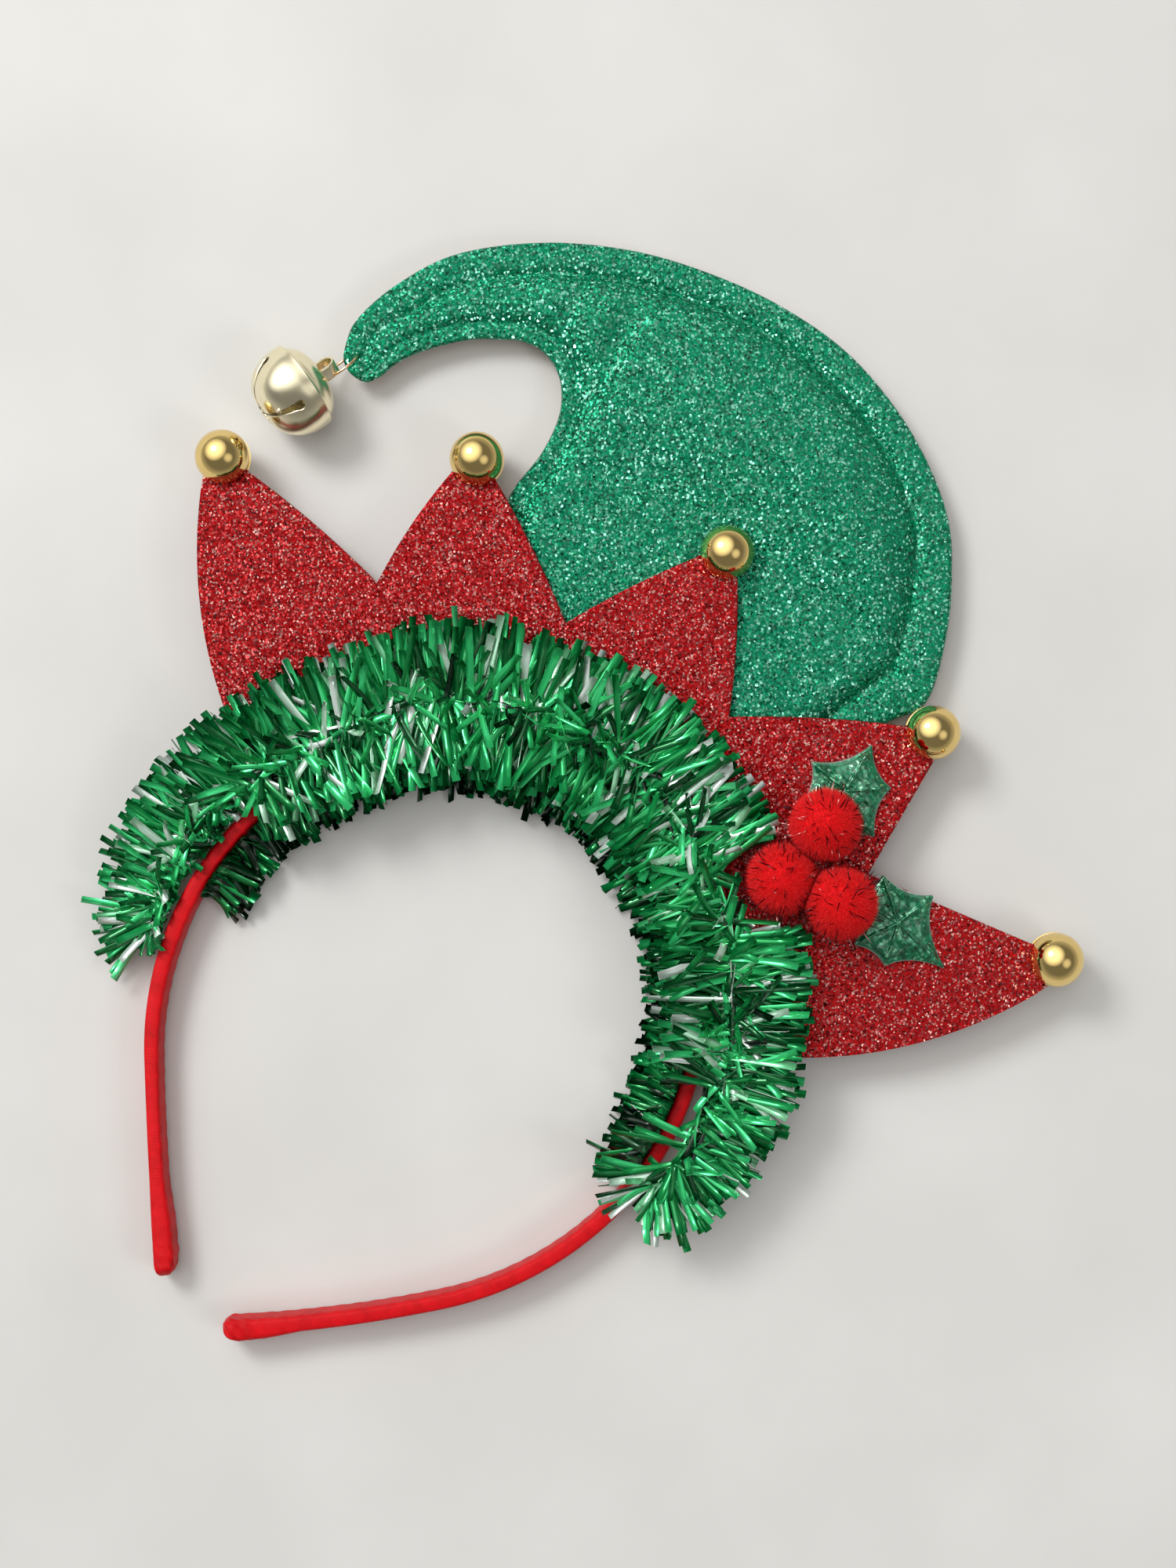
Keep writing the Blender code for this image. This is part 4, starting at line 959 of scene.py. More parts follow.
def make_horn(material):
    """The padded horn: two faces over one grid, joined round a thick flat edge.

    The distance to the nearest edge gives each face's height: flat along the border, dipping
    in the sewn groove, then rising as 1 - exp(-distance / run). Folds are Gaussian valleys
    with a swell on either side, and slow waves keep the padding uneven. Below the points of
    the brim a soft limit holds the front at the band's height.
    """
    outer, inner = horn_edges(HORN_STEPS)
    width = np.linalg.norm(inner - outer, axis=1)[:, None]
    grid = horn_grid(outer, inner, width)
    seam = np.concatenate([[brim_spot(HORN_SEAM_END)], outer[HORN_STEPS * len(HAT_TUCK_ROWS):]])
    from_seam, from_outer, from_inner, from_tip, from_base = (
        distance_to_line(grid, line) for line in (seam, outer, inner, grid[-1], grid[0]))
    thin = np.clip(np.broadcast_to(width, grid.shape[:2]) / HAT_THIN_WIDTH, 0.35, 1)
    from_corner = (grid[..., 1] - ORIGIN[1] - HAT_CORNER_HEIGHT) / HAT_CORNER_RUN
    wider = HAT_CORNER_WIDER * np.exp(-from_corner ** 2) * (grid[..., 0] > ORIGIN[0])
    outer_border = HAT_OUTER_BORDER * thin * (1 + wider)
    puff = padding_rise(from_outer, HAT_PUFF_RUN / 4)
    groove = np.zeros(grid.shape[:2])
    for away, border, depth in ((from_seam, outer_border, 1.0),
                                (from_inner, HAT_INNER_BORDER * thin, HAT_FAINT_GROOVE),
                                (from_tip, HAT_INNER_BORDER, HAT_FAINT_GROOVE),
                                (from_base, HAT_BASE_BORDER, HAT_FAINT_GROOVE)):
        puff *= padding_rise(away - border, HAT_PUFF_RUN)
        groove = np.maximum(groove, depth * np.exp(-((away - border) / HAT_GROOVE_HALF) ** 2))
    fold = np.zeros(grid.shape[:2])
    for row in HORN_FOLDS:
        line = np.array(row[:4]).reshape(2, 2) * (HAT_WIDTH, HAT_HEIGHT) + ORIGIN
        away = distance_to_line(grid, line) / row.half_width
        swell = FOLD_SWELL * np.exp(-(away - FOLD_SWELL_AWAY) ** 2)
        fold += row.depth * (np.exp(-away ** 2) - swell)
    rim = quarter_round(np.minimum(np.minimum(from_outer, from_inner), from_tip) / HAT_EDGE_ROUND)
    swell = HAT_BORDER_SWELL * np.sin(np.clip(from_seam / outer_border, 0, 1) * math.pi)
    uneven = HAT_WAVES[0] * waves(grid, 0.020, 5) + HAT_WAVES[1] * waves(grid, 0.008, 8)
    front = (HAT_SEAM + HAT_SEAM_HALF * rim + swell - HAT_GROOVE_DEPTH * groove
             + (HAT_PUFF - fold + uneven) * puff)
    back = HAT_SEAM - HAT_SEAM_HALF * rim - HAT_BACK_PUFF * puff
    past = np.linalg.norm(grid - ORIGIN + (0, BRIM_RADIUS), axis=-1)
    past = past - (BRIM_RADIUS + BRIM_HEIGHT + HAT_PAST_POINTS)
    most = HAT_SEAM + HAT_SEAM_HALF + HAT_PUFF
    climb = (most - BAND_HEIGHT) * np.clip(past / HAT_CLIMB_RUN, 0, 1)
    ceiling = BAND_HEIGHT + HAT_OVER_BAND + climb
    front = -HAT_SOFT_LIMIT * np.log(np.exp(-front / HAT_SOFT_LIMIT)
                                     + np.exp(-ceiling / HAT_SOFT_LIMIT))
    front = np.minimum(front, np.where(past < 0, BAND_HEIGHT, 1.0))
    back = np.maximum(back, ABOVE_TABLE)
    rows, columns = grid.shape[:2]
    points = np.stack([np.dstack([grid, front]), np.dstack([grid, back])])
    faces = grid_faces(rows, columns)
    count = rows * columns
    rim_line = np.concatenate([np.arange(columns), np.arange(1, rows) * columns + columns - 1,
                               count - 1 - np.arange(1, columns),
                               np.arange(rows - 2, 0, -1) * columns])
    after = np.roll(rim_line, -1)
    side = np.stack([rim_line, after, after + count, rim_line + count], axis=1)
    horn = add_piece("padded_horn", points, np.concatenate([faces, faces + count, side]), material)
    keep_edges(horn, 65)
    place_piece(horn, "hat_glitter", "hat")


# Beads


def make_beads(material):
    """The beads: half domes of a sphere turned about an upright axis, with a small lip."""
    turn = np.linspace(0, math.pi / 2, 18)[1:]
    around = np.linspace(0, 2 * math.pi, BEAD_ROUND, endpoint=False)
    for name in sorted(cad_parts):
        if not name.startswith("bead_"):
            continue
        low, high = solid_box(name)
        middle, radius, depth = (low + high) / 2, (high[0] - low[0]) / 2, high[2] - low[2]
        radii = np.concatenate([[0, radius * 0.9, radius], radius * np.cos(turn)])[:, None]
        climb = np.concatenate([[0, 0, BEAD_LIP], depth * np.sin(turn)])[:, None]
        x = middle[0] + radii * np.cos(around)
        y = middle[1] + radii * np.sin(around)
        z = (low[2] + climb if name.startswith("bead_front") else high[2] - climb) + 0 * x
        dome = add_rings(name.replace("bead", "dome"), np.dstack([x, y, z]), material)
        keep_edges(dome, 50)
        place_piece(dome, "gold_beads", name)


# The foil garland


def garland_ground(shares, out):
    """Height of what lies under a place beside the band: brim, band or table."""
    over_brim = (shares > BRIM_LEFT_SHARE) & (shares < BRIM_RIGHT_SHARE) & (out > BRIM_BACK)
    band_or_table = np.where(np.abs(out) < BAND_HALF, BAND_HEIGHT + ABOVE_TABLE, 0.0)
    return np.where(over_brim, BRIM_TOP, band_or_table) + STRIP_CLEARANCE


def strip_points(places, ways, lengths, widths, rolls, bends, settle):
    """Sections of flat strips: a line from each place along its way, bending with the square
    of the distance, and two edges to either side of it, turned about the way by the roll.

    settle moves the points of the line clear of what is below and beside them.
    """
    t = np.linspace(0, 1, STRIP_SECTIONS)
    line = (places[:, None] + ways[:, None] * (lengths[:, None] * t)[..., None]
            + bends[:, None] * (t * t)[None, :, None])
    line = settle(line)
    side = np.cross(ways, (0.0, 0.0, 1.0))
    side /= np.maximum(np.linalg.norm(side, axis=1), 1e-6)[:, None]
    rise = np.cross(side, ways)
    turn = rolls[:, None] + (0.5 * np.sin(rolls * 7))[:, None] * t
    across = np.cos(turn)[..., None] * side[:, None] + np.sin(turn)[..., None] * rise[:, None]
    face = np.cos(turn)[..., None] * rise[:, None] - np.sin(turn)[..., None] * side[:, None]
    across = across * widths[:, None, None] / 2
    face = face * STRIP_THICKNESS / 2
    corners = [line + across + face, line - across + face, line - across - face,
               line + across - face]
    points = np.stack(corners, axis=2)
    points[..., 2] = np.maximum(points[..., 2], ABOVE_TABLE)
    return points


def add_strips(name, strips, tones, material):
    """One mesh of many strips, each with four sides, a cap at each end and one tone."""
    sides = grid_faces(STRIP_SECTIONS, 4, round_columns=True)
    last = (STRIP_SECTIONS - 1) * 4
    one = np.concatenate([sides, [[0, 1, 2, 3], [last + 3, last + 2, last + 1, last]]])
    piece = add_piece(name, strips, copies(one, STRIP_POINTS, len(strips)), material,
                      smooth=False, weld=False, values={"tone": np.repeat(tones, STRIP_POINTS)})
    place_piece(piece, "garland_foil", "tinsel")


def clear_of_pompoms(points):
    """Points moved straight out of the pompoms that they lie in."""
    for number in (1, 2, 3):
        low, high = solid_box(f"pompom_{number}")
        centre = np.array([*(low + high)[:2] / 2, low[2] + POMPOM_RADIUS])
        offset = points - centre
        away = np.linalg.norm(offset, axis=-1, keepdims=True)
        moved = centre + offset * POMPOM_FUZZ / np.maximum(away, 1e-5)
        points = np.where(away < POMPOM_FUZZ, moved, points)
    return points


def grow_strips(group, seed, shares, out, up, lengths):
    """Strips of one group: ways about a mean angle in the section, leaning along the band.

    Angles are counted from straight outward over straight up. Towards both ends of the
    garland the strips lean out past it, as at the end of a brush.
    """
    rng = np.random.default_rng(seed)
    count = len(shares)
    first, last = GARLAND_ROWS[0].length_share, GARLAND_ROWS[-1].length_share
    points, outward = band_line(shares)
    along = np.stack([outward[:, 1], -outward[:, 0]], axis=1)
    angle = np.radians(group.angle + rng.normal(0, group.spread, count))
    lean = np.radians(rng.normal(0, group.lean, count))
    from_first = (shares - first) * BAND_LENGTH
    from_last = (last - shares) * BAND_LENGTH
    brush = np.exp(-from_last / BRUSH_RUN) - np.exp(-from_first / BRUSH_RUN)
    lean = np.clip(lean + np.radians(BRUSH_LEAN) * brush, -1.45, 1.45)
    flat = np.cos(angle) * np.cos(lean)
    ways = np.concatenate([outward * flat[:, None] + along * np.sin(lean)[:, None],
                           (np.sin(angle) * np.cos(lean))[:, None]], axis=1)
    places = np.concatenate([points + outward * out[:, None], up[:, None]], axis=1)
    room = (out - BAND_HALF) / np.maximum(-flat, 0.001)
    short = (shares < BRIM_LEFT_SHARE - FREE_BAND_RUN) & (out > 0)
    lengths = np.where(short, np.minimum(lengths, room), lengths)
    widths = rng.uniform(group.width_low, group.width_high, count)
    rolls = rng.normal(0, STRIP_ROLL, count)
    bends = rng.normal(0, 1, (count, 3)) * STRIP_BENDS
    bends[:, 2] -= STRIP_SAG * np.abs(np.cos(angle))

    def settle(line):
        """Hold each strip's line above the ground and below the garland's top."""
        reach = line - places[:, None]
        aside = out[:, None] + (reach[..., :2] * outward[:, None]).sum(-1)
        step = (reach[..., :2] * along[:, None]).sum(-1) / BAND_LENGTH
        ground = garland_ground(shares[:, None] + step, aside)
        layer = np.linspace(0, STRIP_LAYERS, count)[rng.permutation(count)][:, None]
        line[..., 2] = np.clip(line[..., 2], ground + layer, GARLAND_TOP)
        return clear_of_pompoms(line)

    strips = strip_points(places, ways, lengths, widths, rolls, bends, settle)
    return strips, rng.uniform(group.tone_low, group.tone_high, count)


def garland_rows(shares):
    """The garland's core place and strip length at shares along the band."""
    table = np.array(GARLAND_ROWS)
    return [np.interp(shares, table[:, 0], table[:, column]) for column in (1, 2, 3)]


def left_standing(rng, strips, shares, out):
    """Which strips stay: those at a parting only by its share, and none with its tip in a pompom.

    A strip counts as at a parting when it crosses the band's line there, or lies over it.
    """
    share, aside = beside_band(strips[:, 1:4].mean(axis=(1, 2)))
    tips = strips[:, -1].mean(axis=1)
    tip_share, tip_aside = beside_band(tips)
    crossed = tip_aside < CROSSED_BAND
    run = out / np.maximum(out - tip_aside, 0.0001)
    crossing = np.where(crossed, shares + (tip_share - shares) * run, share)
    over = crossed | (np.abs(aside) < NEAR_BAND)
    keep = np.ones(len(share), dtype=bool)
    for parting in GARLAND_PARTINGS:
        inside = over & (crossing > parting.first_share) & (crossing < parting.last_share)
        keep &= ~inside | (rng.uniform(0, 1, len(share)) < parting.kept)
    for place in POMPOM_PLACES:
        keep &= np.linalg.norm(tips[:, :2] - brim_spot(place), axis=1) > POMPOM_FREE
    return keep


def make_garland(material, thread):
    """The foil garland: strips round a twisted core, and shorter tufts inside the band."""
    rng = np.random.default_rng(21)
    first, last = GARLAND_ROWS[0].length_share, GARLAND_ROWS[-1].length_share
    strips, tones = [], []
    for number, group in enumerate(TUFT_GROUPS):
        shares = np.sort(rng.uniform(first, last, group.count))
        core_out, core_up, length = garland_rows(shares)
        scatter = rng.normal(0, CORE_SCATTER, (3, group.count))
        out = core_out + scatter[0]
        shorter = STRIP_SPREAD * rng.uniform(0, 1, group.count) ** 1.6
        lengths = length * (STRIP_LONGEST - shorter)
        if 40 < group.angle < 140:
            lengths *= rng.uniform(*UPRIGHT_SHARES, group.count)
        made, tone = grow_strips(group, 40 + number, shares, out, core_up + scatter[1], lengths)
        keep = left_standing(rng, made, shares, out)
        strips.append(made[keep])
        tones.append(tone[keep])
    add_strips("garland_strips", np.concatenate(strips), np.concatenate(tones), material)
    # the under tufts' darker tones are painted shade below the upper strips
    group = UNDER_TUFTS
    shares = np.sort(rng.uniform(UNDER_FIRST_SHARE, last - 0.004, group.count))
    up = rng.uniform(*UNDER_HEIGHTS, group.count)
    lengths = rng.uniform(*UNDER_LENGTHS, group.count)
    out = np.full(group.count, UNDER_OUT)
    made, tone = grow_strips(group, 60, shares, out, up, lengths)
    add_strips("garland_under_tufts", made, tone, material)
    make_core(thread)


def make_core(material):
    """The garland's core: two thin threads twisted round each other, as two helices."""
    rows, sides = 900, 6
    shares = np.linspace(GARLAND_ROWS[0].length_share, GARLAND_ROWS[-1].length_share, rows)
    core_out, core_up, _ = garland_rows(shares)
    points, outward = band_line(shares, core_out)
    turn = shares * BAND_LENGTH / CORE_PITCH * 2 * math.pi
    around = np.linspace(0, 2 * math.pi, sides, endpoint=False)
    threads = []
    for start in (0, math.pi):
        twist = (turn + start)[:, None]
        out = CORE_TWIST_RADIUS * np.cos(twist) + CORE_THREAD_RADIUS * np.cos(around)
        up = (core_up[:, None] + CORE_TWIST_RADIUS * np.sin(twist)
              + CORE_THREAD_RADIUS * np.sin(around))
        flat = points[:, None] + outward[:, None] * out[..., None]
        threads.append(capped(np.dstack([flat, up])))
    faces = copies(grid_faces(rows + 2, sides, round_columns=True), (rows + 2) * sides, 2)
    core = add_piece("garland_core", np.concatenate(threads), faces, material)
    place_piece(core, "garland_foil")


# Bell and jump ring


def bell_frame():
    """The bell's turn, as rows of its own x, y and z, and its centre.

    Its z runs from the loop to the slots, and its x looks up but for a small roll.
    """
    heading, dip = math.radians(BELL_HEADING), math.radians(BELL_DIP)
    axis = np.array([math.cos(heading) * math.cos(dip), math.sin(heading) * math.cos(dip),
                     math.sin(dip)])
    across = np.cross((0, 0, 1), axis)
    across /= np.linalg.norm(across)
    up = np.cross(axis, across)
    roll = math.radians(BELL_ROLL)
    turn = np.stack([up * math.cos(roll) - across * math.sin(roll),
                     -across * math.cos(roll) - up * math.sin(roll), axis])
    low, high = solid_box("bell_pellet")
    probe = bell_surface(np.linspace(0, 2 * math.pi, 97)[None], bell_rows()[:, None]) @ turn
    return turn, np.array([*(low + high)[:2] / 2 + image_way(0, BELL_LIFT),
                           -probe[..., 2].min()])


def bell_rows():
    """Heights of the bell's rows, closer at the ridge and at both ends."""
    ridge_turn = math.acos(-BELL_RIDGE / BELL_CAP_HEIGHT)
    cap = -BELL_CAP_HEIGHT * np.cos(np.linspace(0.03, 1, 14) * ridge_turn)
    lip = BELL_RIDGE + np.array(BELL_LIP_ROWS)
    bulb_end = SLOT_ROOT + 2 * SLOT_BULB
    root = np.linspace(BELL_RIDGE + BELL_ROOT_ROWS, bulb_end, 22)
    climb = np.sin(np.linspace(0, 0.93, 16)[1:] * math.pi / 2)
    petals = bulb_end + (BELL_PETAL_HEIGHT - bulb_end) * climb
    return np.concatenate([cap, lip, root, petals])


def bell_surface(around, z):
    """The bell's wall: a cap and petals of rounded profile with a lip where they meet.

    The petals' middles are pressed in towards the slots' end.
    """
    z = z + 0 * around
    height = np.where(z < 0, BELL_CAP_HEIGHT, BELL_PETAL_HEIGHT)
    power = np.where(z < 0, BELL_CAP_POWER, BELL_PETAL_POWER)
    radius = BELL_RADIUS * np.maximum(1 - (z / height) ** 2, 0) ** power
    past = z - BELL_RIDGE
    lip = BELL_LIP * np.exp(-past / BELL_LIP_RUN)
    radius = radius + np.where(past > 0, lip, -BELL_CAP_INSET)
    press = np.clip(0.25 + 0.95 * z / BELL_PETAL_HEIGHT, 0, 1) * (past > 0)
    pillow = (1 - np.cos(4 * around)) / 2
    radius = radius * (1 - BELL_FLAT * press * pillow)
    return np.stack([radius * np.cos(around), radius * np.sin(around), z], axis=-1)


def make_bell(material):
    """The jingle bell: four petals over one profile, parted by slots that start in a bulb.

    Above its bulb a slot narrows towards the petals' end; the wall is given inward.
    """
    rows = bell_rows()
    bulb = np.sqrt(np.maximum(0, SLOT_BULB ** 2 - (rows - SLOT_ROOT - SLOT_BULB) ** 2))
    run = np.clip((rows - SLOT_ROOT - SLOT_BULB) / (BELL_PETAL_HEIGHT - SLOT_ROOT), 0, 1)
    slot = np.where(rows > SLOT_ROOT + SLOT_BULB, SLOT_HALF - SLOT_NARROWING * run, 0)
    slot = np.where(rows < SLOT_ROOT, 0, np.maximum(bulb, slot))
    radius = np.linalg.norm(bell_surface(np.zeros(1), rows[:, None])[:, 0, :2], axis=1)
    part = np.minimum(np.arcsin(np.clip(slot / np.maximum(radius, 1e-5), 0, 0.9)), 0.62)
    t = np.linspace(-1, 1, 31)
    t = np.sign(t) * (1 - (1 - np.abs(t)) ** 1.25)
    turn, centre = bell_frame()
    petals = []
    for number in range(4):
        around = number * math.pi / 2 + t[None] * (math.pi / 4 - part)[:, None]
        petals.append(bell_surface(around, rows[:, None]) @ turn + centre)
    faces = copies(grid_faces(len(rows), len(t)), len(rows) * len(t), 4)
    tip = np.array([[0, 0, -BELL_CAP_HEIGHT]]) @ turn + centre
    points = np.concatenate(petals).reshape(-1, 3)
    first = np.stack([petal[0] for petal in petals])
    cap = np.stack([first, np.broadcast_to(tip, first.shape)], axis=1).reshape(-1, 3)
    cap_faces = copies(grid_faces(2, len(t)), 2 * len(t), 4) + len(points)
    bell = add_piece("bell_shell", np.concatenate([points, cap]),
                     np.concatenate([faces, cap_faces]), material)
    wall = bell.modifiers.new("wall", "SOLIDIFY")
    wall.thickness = BELL_WALL
    wall.offset = -1
    place_piece(bell, "bell_metal", "bell")
    make_loop(material, turn, centre)
    low, high = solid_box("bell_pellet")
    pellet = ball("pellet_ball", (low + high) / 2, (high - low)[2] / 2, 32, material)
    place_piece(pellet, "bell_metal", "bell_pellet")
    spot = bell_surface(np.array(PIMPLE_AROUND), np.array(PIMPLE_HEIGHT)) @ turn + centre
    pimple = ball("bell_pimple", spot, PIMPLE_RADIUS, 14, material)
    place_piece(pimple, "bell_metal")


def ball(name, centre, radius, steps, material):
    """A ball as circles of latitude."""
    turn = np.linspace(0, math.pi, steps)[:, None]
    around = np.linspace(0, 2 * math.pi, 2 * steps, endpoint=False)[None]
    points = np.stack([np.sin(turn) * np.cos(around), np.sin(turn) * np.sin(around),
                       np.cos(turn) + 0 * around], axis=-1) * radius + centre
    return add_rings(name, points, material)


def rounded_section(width, thickness, sides):
    """A flat section with round corners, as points of a superellipse."""
    around = np.linspace(0, 2 * math.pi, sides, endpoint=False)
    return (rounded(np.cos(around), 0.4) * width / 2,
            rounded(np.sin(around), 0.4) * thickness / 2)


def make_loop(material, turn, centre):
    """The bell's strap loop: a flat strap along a U, turned about the bell's axis."""
    bend = np.linspace(0, math.pi, 24)
    foot, crest = -BELL_CAP_HEIGHT + BELL_WALL, -BELL_CAP_HEIGHT - LOOP_LENGTH
    halfway = (foot + crest) / 2
    y = np.concatenate([[1, 1], np.cos(bend), [-1, -1]])
    z = np.concatenate([[foot, halfway], crest - LOOP_RADIUS * np.sin(bend), [halfway, foot]])
    lift = np.concatenate([[0, 0], np.sin(bend), [0, 0]])
    wide, thick = rounded_section(LOOP_WIDTH, LOOP_THICKNESS, 20)
    reach = (LOOP_RADIUS + thick[None]) * y[:, None]
    height = z[:, None] - thick[None] * lift[:, None]
    twist = math.radians(LOOP_TWIST)
    points = np.dstack([wide * math.cos(twist) - reach * math.sin(twist),
                        wide * math.sin(twist) + reach * math.cos(twist), height])
    loop = add_rings("bell_strap", capped(points @ turn + centre), material)
    keep_edges(loop, 50)
    place_piece(loop, "bell_metal")


def make_jump_ring(material):
    """The jump ring: round wire on a circle that leans a little, open by a hair's width."""
    heading, lean = math.radians(BELL_HEADING), math.radians(RING_LEAN)
    along = np.array([math.cos(heading), math.sin(heading), 0])
    aside = np.array([-math.sin(heading), math.cos(heading), 0])
    up = np.array([0, 0, math.cos(lean)]) + aside * math.sin(lean)
    normal = np.cross(along, up)
    around = np.radians(np.linspace(RING_START, RING_START + RING_TURN, 90))[:, None, None]
    tube = np.linspace(0, 2 * math.pi, 14, endpoint=False)[None, :, None]
    low, high = solid_box("jump_ring")
    out = np.cos(around) * along + np.sin(around) * up
    points = ((low + high) / 2 + out * (RING_RADIUS + RING_WIRE * np.cos(tube))
              + normal * RING_WIRE * np.sin(tube))
    ring = add_rings("split_ring", capped(points), material)
    keep_edges(ring, 60)
    place_piece(ring, "gold_wire", "jump_ring")


# Pompoms and leaves


def pressed(points, others):
    """A pompom's points, kept on its side of its neighbours and above its seat."""
    for other in others:
        away = np.linalg.norm(other)
        toward = other / away
        past = np.maximum(0, points @ toward - (away / 2 - 0.0001))
        points = points - past[..., None] * toward
    points[..., 2] = np.maximum(points[..., 2], -POMPOM_RADIUS)
    return points


def make_pompoms(fuzz, bristle):
    """The pompoms: tapered fibres all round a core, pressed flat below and side by side.

    Thicker bristles of dark foil stand out of the fibres.
    """
    centres = []
    for number, place in enumerate(POMPOM_PLACES, start=1):
        low, _ = solid_box(f"pompom_{number}")
        centres.append(np.array([*brim_spot(place), low[2] + POMPOM_RADIUS]))
    for number, centre in enumerate(centres, start=1):
        rng = np.random.default_rng(299 + number)
        others = [other - centre for other in centres if other is not centre]
        # the core holds no tone, so it takes the dark root red: painted shade among the fibres
        core = ball(f"pompom_core_{number}", np.zeros(3), POMPOM_FUZZ * POMPOM_CORE, 22, fuzz)
        place = np.empty(len(core.data.vertices) * 3)
        core.data.vertices.foreach_get("co", place)
        place = pressed(place.reshape(-1, 3), others) + centre
        core.data.vertices.foreach_set("co", place.ravel())
        place_piece(core, "pompom_fuzz")
        hairs, tones = hair_points(rng, FUZZ_HAIRS)
        fibres = add_hairs(f"pompom_fibres_{number}", pressed(hairs, others) + centre, tones, fuzz)
        place_piece(fibres, "pompom_fuzz", f"pompom_{number}")
        hairs, _ = hair_points(rng, BRISTLES)
        tones = np.repeat(rng.uniform(0, 1, BRISTLES.count), HAIR_POINTS)
        spikes = add_hairs(f"pompom_bristles_{number}", pressed(hairs, others) + centre, tones,
                           bristle)
        place_piece(spikes, "pompom_fuzz")


def hair_points(rng, kind):
    """Seven points of each fibre, and a tone that rises towards its tip and the ball's top,
    as painted light, with painted shade at the root.

    A fibre has two three-sided sections and a tip, and bends towards its drift.
    """
    count = kind.count
    tips = POMPOM_FUZZ * rng.uniform(kind.tip_low, kind.tip_high, count)
    way = rng.normal(0, 1, (count, 3))
    way /= np.linalg.norm(way, axis=1)[:, None]
    drift = rng.normal(0, kind.lean, (count, 3))
    side = np.cross(way, rng.normal(0, 1, (count, 3)))
    side /= np.linalg.norm(side, axis=1)[:, None]
    other = np.cross(way, side)
    corner = np.linspace(0, 2 * math.pi, 3, endpoint=False)[None, :, None]
    ring = np.cos(corner) * side[:, None] + np.sin(corner) * other[:, None]
    start = way * (POMPOM_FUZZ * kind.root_share)
    end = way + drift * 0.35
    end = end / np.linalg.norm(end, axis=1)[:, None] * tips[:, None]
    middle = start * 0.45 + end * 0.55 + drift * 0.0004
    points = np.concatenate([start[:, None] + ring * kind.thickness / 2,
                             middle[:, None] + ring * kind.thickness * 0.42, end[:, None]], axis=1)
    # painted light: fibres facing up are lighter, and roots are darker as painted shade
    light = np.clip(0.55 + 0.45 * way[:, 2], 0, 1)
    tone = (0.35 + 0.65 * light[:, None]) * np.array([0.30] * 3 + [0.7] * 3 + [1.0])
    return points, tone * rng.uniform(0.75, 1.0, (count, 1))


def add_hairs(name, hairs, tones, material):
    """One mesh of many fibres, each with two bands of three sides and a closed root."""
    one = [[0, 2, 1]]
    for side in range(3):
        after = (side + 1) % 3
        one += [[side, after, after + 3], [side, after + 3, side + 3], [side + 3, after + 3, 6]]
    faces = copies(np.array(one), HAIR_POINTS, len(hairs))
    return add_piece(name, hairs, faces, material, weld=False, values={"tone": tones})


def lobe_tips(lobes):
    """The tips of a leaf's lobes, seen from its middle."""
    headings = np.radians([lobe.heading_degrees for lobe in lobes])
    reach = LEAF_REACH * np.array([lobe.reach_share for lobe in lobes])
    return np.stack([np.cos(headings), np.sin(headings)], axis=1) * reach[:, None]


def leaf_outline(tips, steps):
    """A leaf's outline: blunt lobes joined by edges that curve in."""
    t = np.linspace(LEAF_BLUNT, 1 - LEAF_BLUNT, steps)[:, None]
    edges = []
    for start, end in zip(tips, np.roll(tips, -1, axis=0)):
        middle = (start + end) / 2
        inward = -middle / np.linalg.norm(middle) * LEAF_BITE * np.linalg.norm(end - start)
        edges.append(start * (1 - t) + end * t + inward * 4 * t * (1 - t))
    return np.concatenate(edges)


def make_leaves(material):
    """The holly leaves: padding that rises from a thin welded rim, with raised veins.

    On a grid of rings and outline points the padding rises as 1 - exp(-distance / run) from
    the rim. Waves crumple it, and a ridge between two grooves runs along each vein, from the
    leaf's middle towards a lobe.
    """
    rings = np.concatenate([[0], np.linspace(0.04, 0.86, 34),
                            [0.89, 0.915, 0.94, 0.965, 0.985, 0.997]])
    edge = np.maximum(quarter_round((1 - rings) / LEAF_ROUND_SHARE), 0.3)[:, None]
    for number, (place, lobes) in enumerate(zip(LEAF_PLACES, LEAF_LOBES), start=1):
        name = f"holly_leaf_{number}"
        low, high = solid_box(name)
        tips = lobe_tips(lobes)
        outline = leaf_outline(tips, 24)
        flat = outline[None] * rings[:, None, None]
        inward = (1 - rings[:, None]) * np.linalg.norm(outline, axis=1)[None]
        padding = padding_rise(inward - LEAF_RIM_WIDTH, LEAF_PAD_RUN)
        crumple = waves(flat, 0.0042, 69 + number) + 0.5 * waves(flat, 0.0019, 79 + number)
        ridge = np.zeros(flat.shape[:2])
        for tip in tips:
            away = distance_to_line(flat, np.array([[0, 0], tip * VEIN_REACH]))
            groove = VEIN_GROOVE * np.exp(-((away - VEIN_GROOVE_AWAY) / VEIN_GROOVE_HALF) ** 2)
            ridge = np.maximum(ridge, np.exp(-(away / VEIN_HALF) ** 2) - groove)
        rise = np.clip(padding * (0.60 + 0.34 * crumple + 0.26 * ridge), 0, 1)
        over_rim = LEAF_RIM_HEIGHT + (high[2] - low[2] - LEAF_RIM_HEIGHT) * rise
        top = low[2] + LEAF_EDGE_HEIGHT + (over_rim - LEAF_EDGE_HEIGHT) * edge
        spot = brim_spot(place)
        upper = np.dstack([flat + spot, top])
        lower = np.dstack([flat + spot, np.full(top.shape, low[2])])[::-1]
        rim = np.clip(1 - inward / LEAF_PALE_RIM, 0, 1) ** 0.5
        leaf = add_rings(name.replace("holly", "padded"), np.concatenate([upper, lower]), material,
                         values={"rim": np.concatenate([rim, rim[::-1]])})
        place_piece(leaf, "leaf_vinyl", name)


# Camera, light and floor

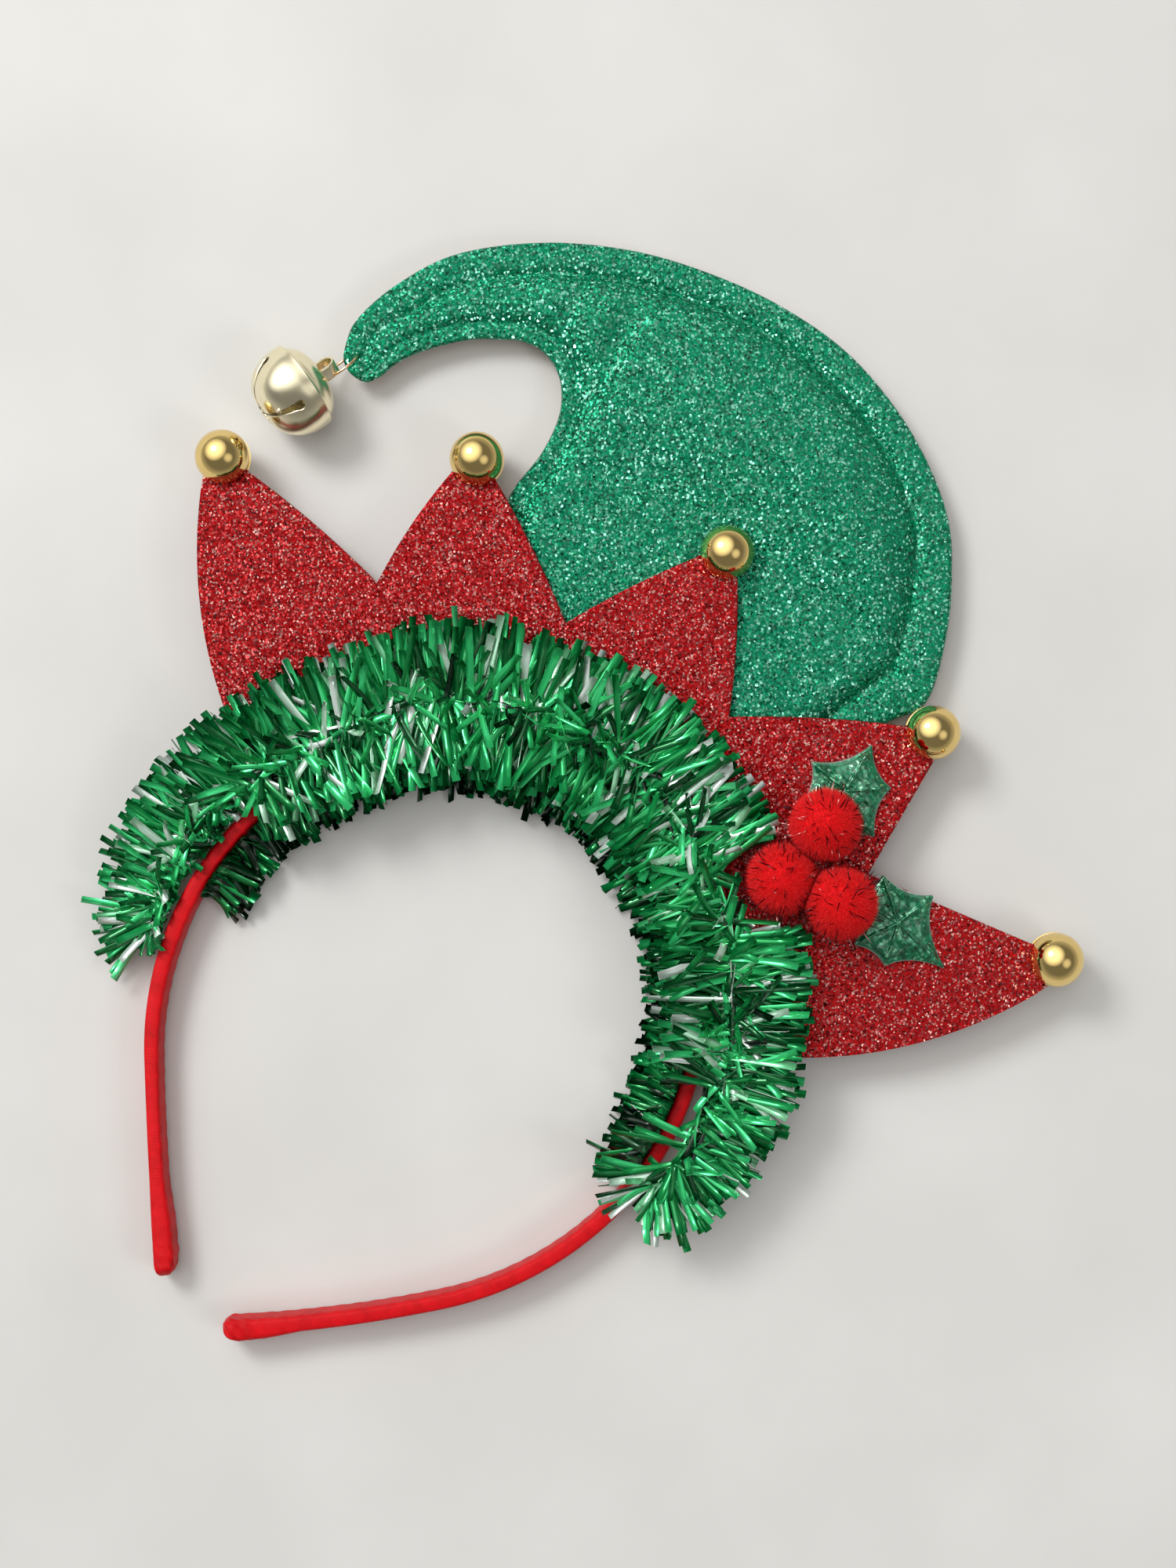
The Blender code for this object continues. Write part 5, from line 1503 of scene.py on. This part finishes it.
CAMERA_HEIGHT = 0.600
CAMERA_ROLL = 31.0
CAMERA_SPOT = (-0.00097, -0.0005)
FOCAL_PIXELS = 3094.7
PHOTO_HEIGHT = 2000
SENSOR = 36.0
FLOOR_REACH = 3.0
FLOOR_HEIGHT = -0.0001


def make_camera():
    """The photograph's view: straight down, rolled, from above the middle of the frame."""
    lens = bpy.data.cameras.new("camera")
    lens.sensor_width = SENSOR
    lens.lens = FOCAL_PIXELS / PHOTO_HEIGHT * SENSOR
    camera = bpy.data.objects.new("camera", lens)
    bpy.context.collection.objects.link(camera)
    camera.location = (*(ORIGIN + CAMERA_SPOT), CAMERA_HEIGHT)
    camera.rotation_euler = (0, 0, math.radians(CAMERA_ROLL))
    bpy.context.scene.camera = camera


def image_way(right, up):
    """A direction on the table, from how far right and up it runs in the picture."""
    roll = math.radians(CAMERA_ROLL)
    x_way = np.array([math.cos(roll), math.sin(roll)])
    y_way = np.array([-math.sin(roll), math.cos(roll)])
    return x_way * right + y_way * up


Light = namedtuple("Light", "name right up height width watts shape")
LIGHTS = (
    Light("key_light", -0.62, 0.62, 0.95, 0.45, 9.3, "DISK"),
    Light("fill_light", 0.75, -0.40, 0.85, 0.35, 2.0, "DISK"),
    Light("top_light", -0.10, 0.15, 1.60, 0.50, 2.0, "SQUARE"),
)
SoftWindow = namedtuple("SoftWindow", "right up above start full brightness")
SOFT_WINDOWS = (
    SoftWindow(-0.42, 0.46, 0.95, 0.66, 0.98, 2.0),
    SoftWindow(0.60, -0.20, 0.9, 0.93, 0.995, 0.9),
)


def make_lights():
    """Studio light: a key at the upper left, a fill at the lower right and a lamp overhead.

    Reflections show the key and the soft windows of the surroundings, but not the other two.
    """
    for light in LIGHTS:
        lamp = bpy.data.lights.new(light.name, "AREA")
        lamp.shape = light.shape
        lamp.size = light.width
        lamp.energy = light.watts
        placed = bpy.data.objects.new(light.name, lamp)
        bpy.context.collection.objects.link(placed)
        x, y = image_way(light.right, light.up) + ORIGIN
        placed.location = (x, y, light.height)
        placed.visible_glossy = light.name == "key_light"
        aim = np.array([ORIGIN[0] - x, ORIGIN[1] - y, -light.height])
        placed.rotation_euler = (math.atan2(math.hypot(aim[0], aim[1]), -aim[2]), 0,
                                 math.atan2(aim[1], aim[0]) - math.pi / 2)
    world = bpy.data.worlds.new("studio")
    world.use_nodes = True
    tree = world.node_tree
    way = tree.nodes.new("ShaderNodeTexCoord").outputs["Generated"]
    height = add_node(tree, "ShaderNodeSeparateXYZ", {0: way}).outputs[2]
    glow = mixed(tree, ranged(tree, height, 0.0, 0.45), (0.52, 0.51, 0.50, 1),
                 (0.20, 0.20, 0.20, 1))
    for window in SOFT_WINDOWS:
        aim = np.array([*image_way(window.right, window.up), window.above])
        aim = aim / np.linalg.norm(aim)
        facing = add_node(tree, "ShaderNodeVectorMath", {0: way, 1: aim}, operation="DOT_PRODUCT")
        share = ranged(tree, facing.outputs["Value"], window.start, window.full)
        glow = mixed(tree, share, glow, (*[window.brightness] * 3, 1))
    set_sockets(tree, tree.nodes["Background"], {"Color": glow, "Strength": 1.0})
    bpy.context.scene.world = world
    bpy.context.scene.view_settings.view_transform = "Standard"


def make_floor():
    """A pale floor sheet under everything."""
    corners = np.array([[-1, -1, 0], [1, -1, 0], [1, 1, 0], [-1, 1, 0]]) * FLOOR_REACH
    floor = add_piece("floor", corners, np.array([[0, 1, 2, 3]]), floor_material(), smooth=False)
    floor.location.z = FLOOR_HEIGHT


def main():
    """Build the looks."""
    make_camera()
    make_lights()
    make_floor()
    make_band(satin_material())
    make_brim(glitter_material("red_glitter", RED_GLITTER, BRIM_LOW + BACKING_SKIN))
    make_horn(glitter_material("green_glitter", GREEN_GLITTER, HAT_SEAM - BACKING_SKIN))
    make_beads(gold_material("mirror_gold", MIRROR_GOLD))
    make_garland(foil_material(), dark_thread_material())
    make_bell(gold_material("satin_gold", SATIN_GOLD))
    make_jump_ring(gold_material("rose_gold", ROSE_GOLD))
    make_pompoms(fuzz_material(), bristle_material())
    make_leaves(vinyl_material())


main()
